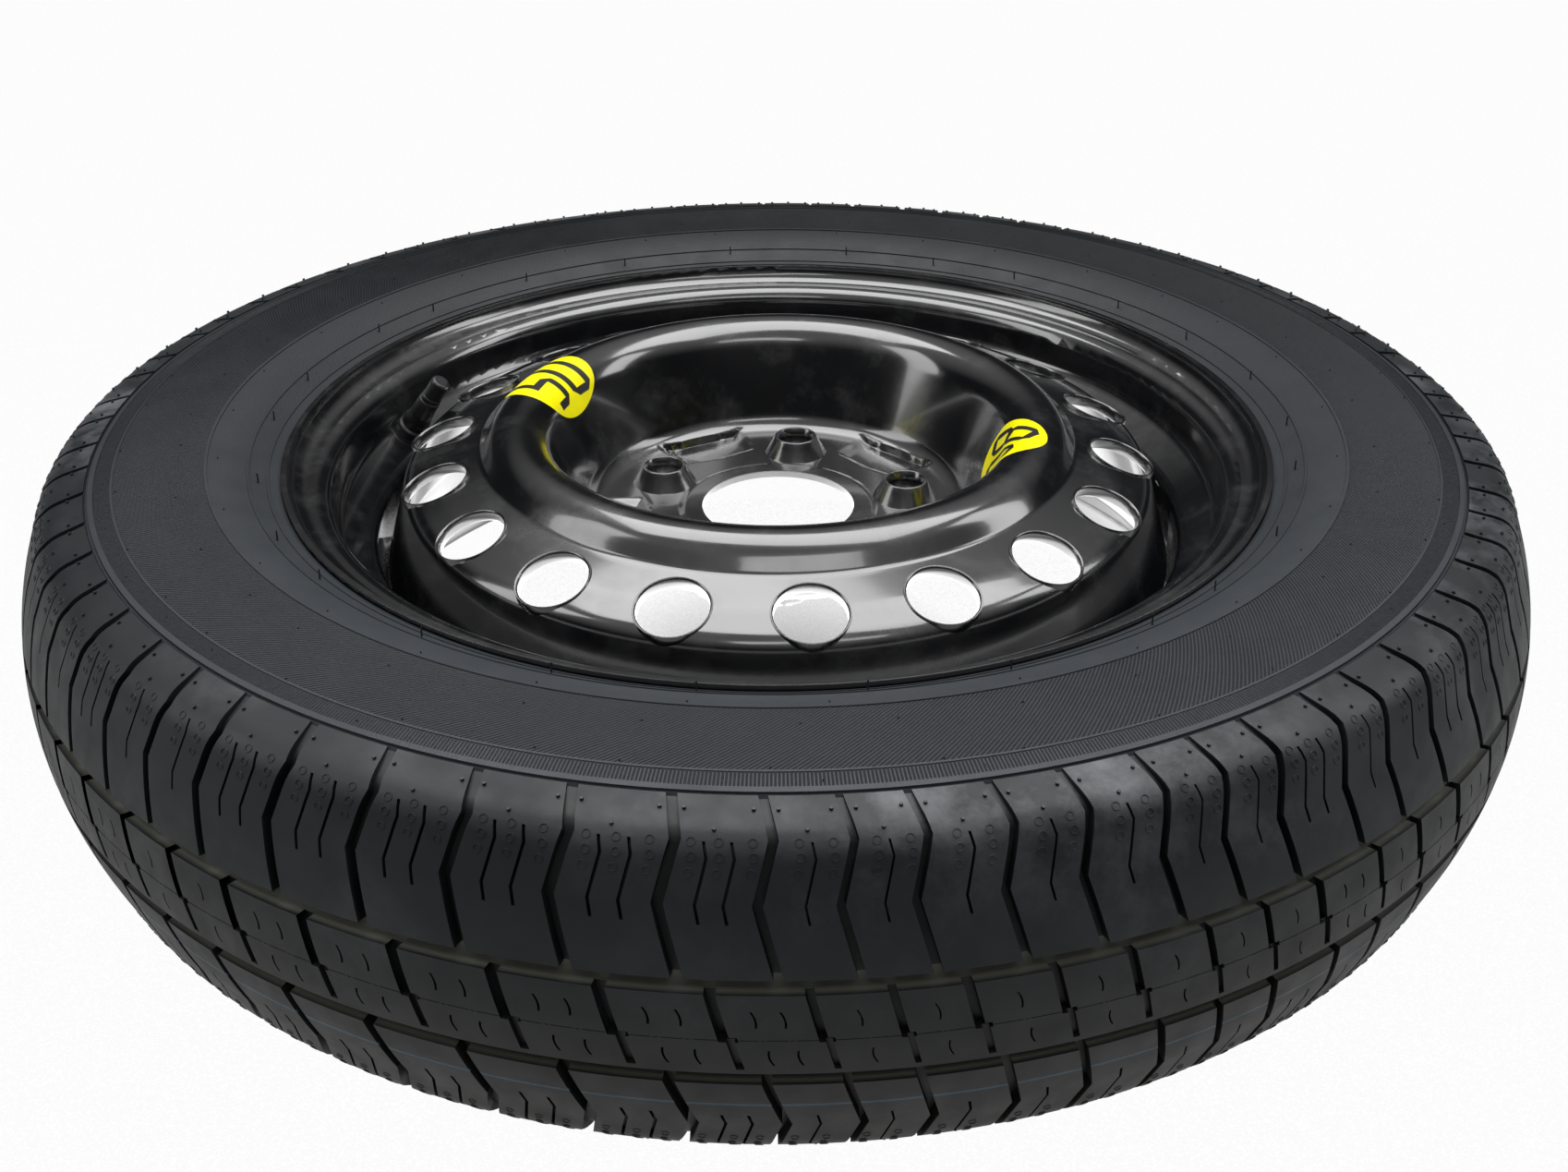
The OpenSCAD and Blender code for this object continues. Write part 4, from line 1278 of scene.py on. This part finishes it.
# Floor, light and camera: a pale floor and a white surround, lit by large soft lights overhead. The floor
# shows pale through the front vents, and it glows under the wheel in reflections only.
floor_mesh = bpy.data.meshes.new("floor")
floor_mesh.from_pydata(
    [(-6, -6, -0.0895), (6, -6, -0.0895), (6, 6, -0.0895), (-6, 6, -0.0895)], [], [(0, 1, 2, 3)],
)
floor = bpy.data.objects.new("floor", floor_mesh)
bpy.context.scene.collection.objects.link(floor)
white, t, s = material("White studio floor", Roughness=0.9)
here = add(t, "ShaderNodeTexCoord").outputs["Object"]
s.inputs["Base Color"].default_value = colour("#4c4c4c")
glow = add(t, "ShaderNodeEmission", {0: (1, 1, 1, 1), 1: 1.0})
ray = add(t, "ShaderNodeLightPath")
spot = add(t, "ShaderNodeSeparateXYZ", {0: here})
away = add(t, "ShaderNodeMath", {
    0: add(t, "ShaderNodeMath", {
        0: add(t, "ShaderNodeMath", {0: spot.outputs[0], 1: 2.0}, operation="POWER"),
        1: add(t, "ShaderNodeMath", {0: spot.outputs[1], 1: 2.0}, operation="POWER"),
    }, operation="ADD"),
}, operation="SQRT").outputs[0]
grit = add(t, "ShaderNodeMapRange", {
    0: add(t, "ShaderNodeTexNoise", {"Vector": here, "Scale": 1100.0, "Detail": 2.0, "Roughness": 0.55}),
    1: 0.3, 2: 0.7, 3: 0.9, 4: 1.1,
}).outputs[0]
shade = add(t, "ShaderNodeMath", {
    0: add(t, "ShaderNodeMapRange", {0: away, 1: 0.03, 2: 0.11, 3: 0.42, 4: 0.96}), 1: grit,
}, operation="MULTIPLY").outputs[0]
open_floor = add(t, "ShaderNodeMath", {
    0: shade, 1: add(t, "ShaderNodeMapRange", {0: away, 1: 0.17, 2: 0.2, 3: 0.0, 4: 0.96}),
}, operation="MAXIMUM").outputs[0]
direct = add(t, "ShaderNodeMath", {
    0: ray.outputs["Is Camera Ray"], 1: open_floor,
}, operation="MULTIPLY").outputs[0]
mirrored = ray.outputs["Is Glossy Ray"]
seen = add(t, "ShaderNodeMath", {
    0: direct, 1: add(t, "ShaderNodeMath", {0: mirrored, 1: 0.6}, operation="MULTIPLY"),
}, operation="MAXIMUM").outputs[0]
under_wheel = add(t, "ShaderNodeMapRange", {0: away, 1: 0.2, 2: 0.17, 3: 0.0, 4: 7.0}).outputs[0]
t.links.new(
    add(t, "ShaderNodeMath", {
        0: 1.0, 1: add(t, "ShaderNodeMath", {0: mirrored, 1: under_wheel}, operation="MULTIPLY"),
    }, operation="ADD").outputs[0],
    glow.inputs[1],
)
mixed = add(t, "ShaderNodeMixShader", {0: seen, 1: s.outputs[0], 2: glow.outputs[0]})
t.links.new(mixed.outputs[0], t.nodes["Material Output"].inputs[0])
floor.data.materials.append(white)

world = bpy.data.worlds.new("studio")
bpy.context.scene.world = world
world.use_nodes = True
t = world.node_tree
back = t.nodes["Background"]
back.inputs[0].default_value = (1, 1, 1, 1)
ray = add(t, "ShaderNodeLightPath")
high = add(t, "ShaderNodeSeparateXYZ", {0: add(t, "ShaderNodeTexCoord").outputs["Generated"]}).outputs[2]
sky = add(t, "ShaderNodeMapRange", {0: high, 1: 0.38, 2: 0.8, 3: 0.015, 4: 0.55}).outputs[0]
amount = add(t, "ShaderNodeMath", {0: sky, 1: ray.outputs["Is Camera Ray"]}, operation="MAXIMUM").outputs[0]
t.links.new(amount, back.inputs[1])


def softbox(name, place_at, aim, width, depth, power):
    data = bpy.data.lights.new(name, "AREA")
    data.shape = "RECTANGLE"
    data.size = width
    data.size_y = depth
    data.energy = power
    made = bpy.data.objects.new(name, data)
    made.location = place_at
    made.rotation_mode = "QUATERNION"
    made.rotation_quaternion = (Vector(aim) - Vector(place_at)).to_track_quat("-Z", "Y")
    bpy.context.scene.collection.objects.link(made)


softbox("overhead", (0.1, 0.4, 1.9), (0, 0, 0), 2.2, 1.4, 44)
softbox("left", (-1.7, -0.2, 1.1), (0, 0, 0), 0.7, 1.4, 10)
softbox("right", (1.8, 0.2, 1.2), (0, 0, 0), 0.6, 1.2, 9)
softbox("front", (0.25, -1.35, 1.55), (0, 0, -0.02), 1.3, 0.3, 4)

lens = bpy.data.cameras.new("camera")
lens.sensor_width = 36
lens.lens = 2065.2 * 36 / 1698
lens.shift_x = -12.1 / 1698
lens.shift_y = 27.1 / 1698
camera = bpy.data.objects.new("camera", lens)
yaw, pitch = math.radians(0.57), math.radians(29.81)
ahead = Vector((math.sin(yaw) * math.cos(pitch), math.cos(yaw) * math.cos(pitch), -math.sin(pitch)))
camera.location = (0, -0.7932, 0.4036)
camera.rotation_mode = "QUATERNION"
camera.rotation_quaternion = ahead.to_track_quat("-Z", "Y")
bpy.context.scene.collection.objects.link(camera)
bpy.context.scene.camera = camera
bpy.context.scene.view_settings.view_transform = "Standard"
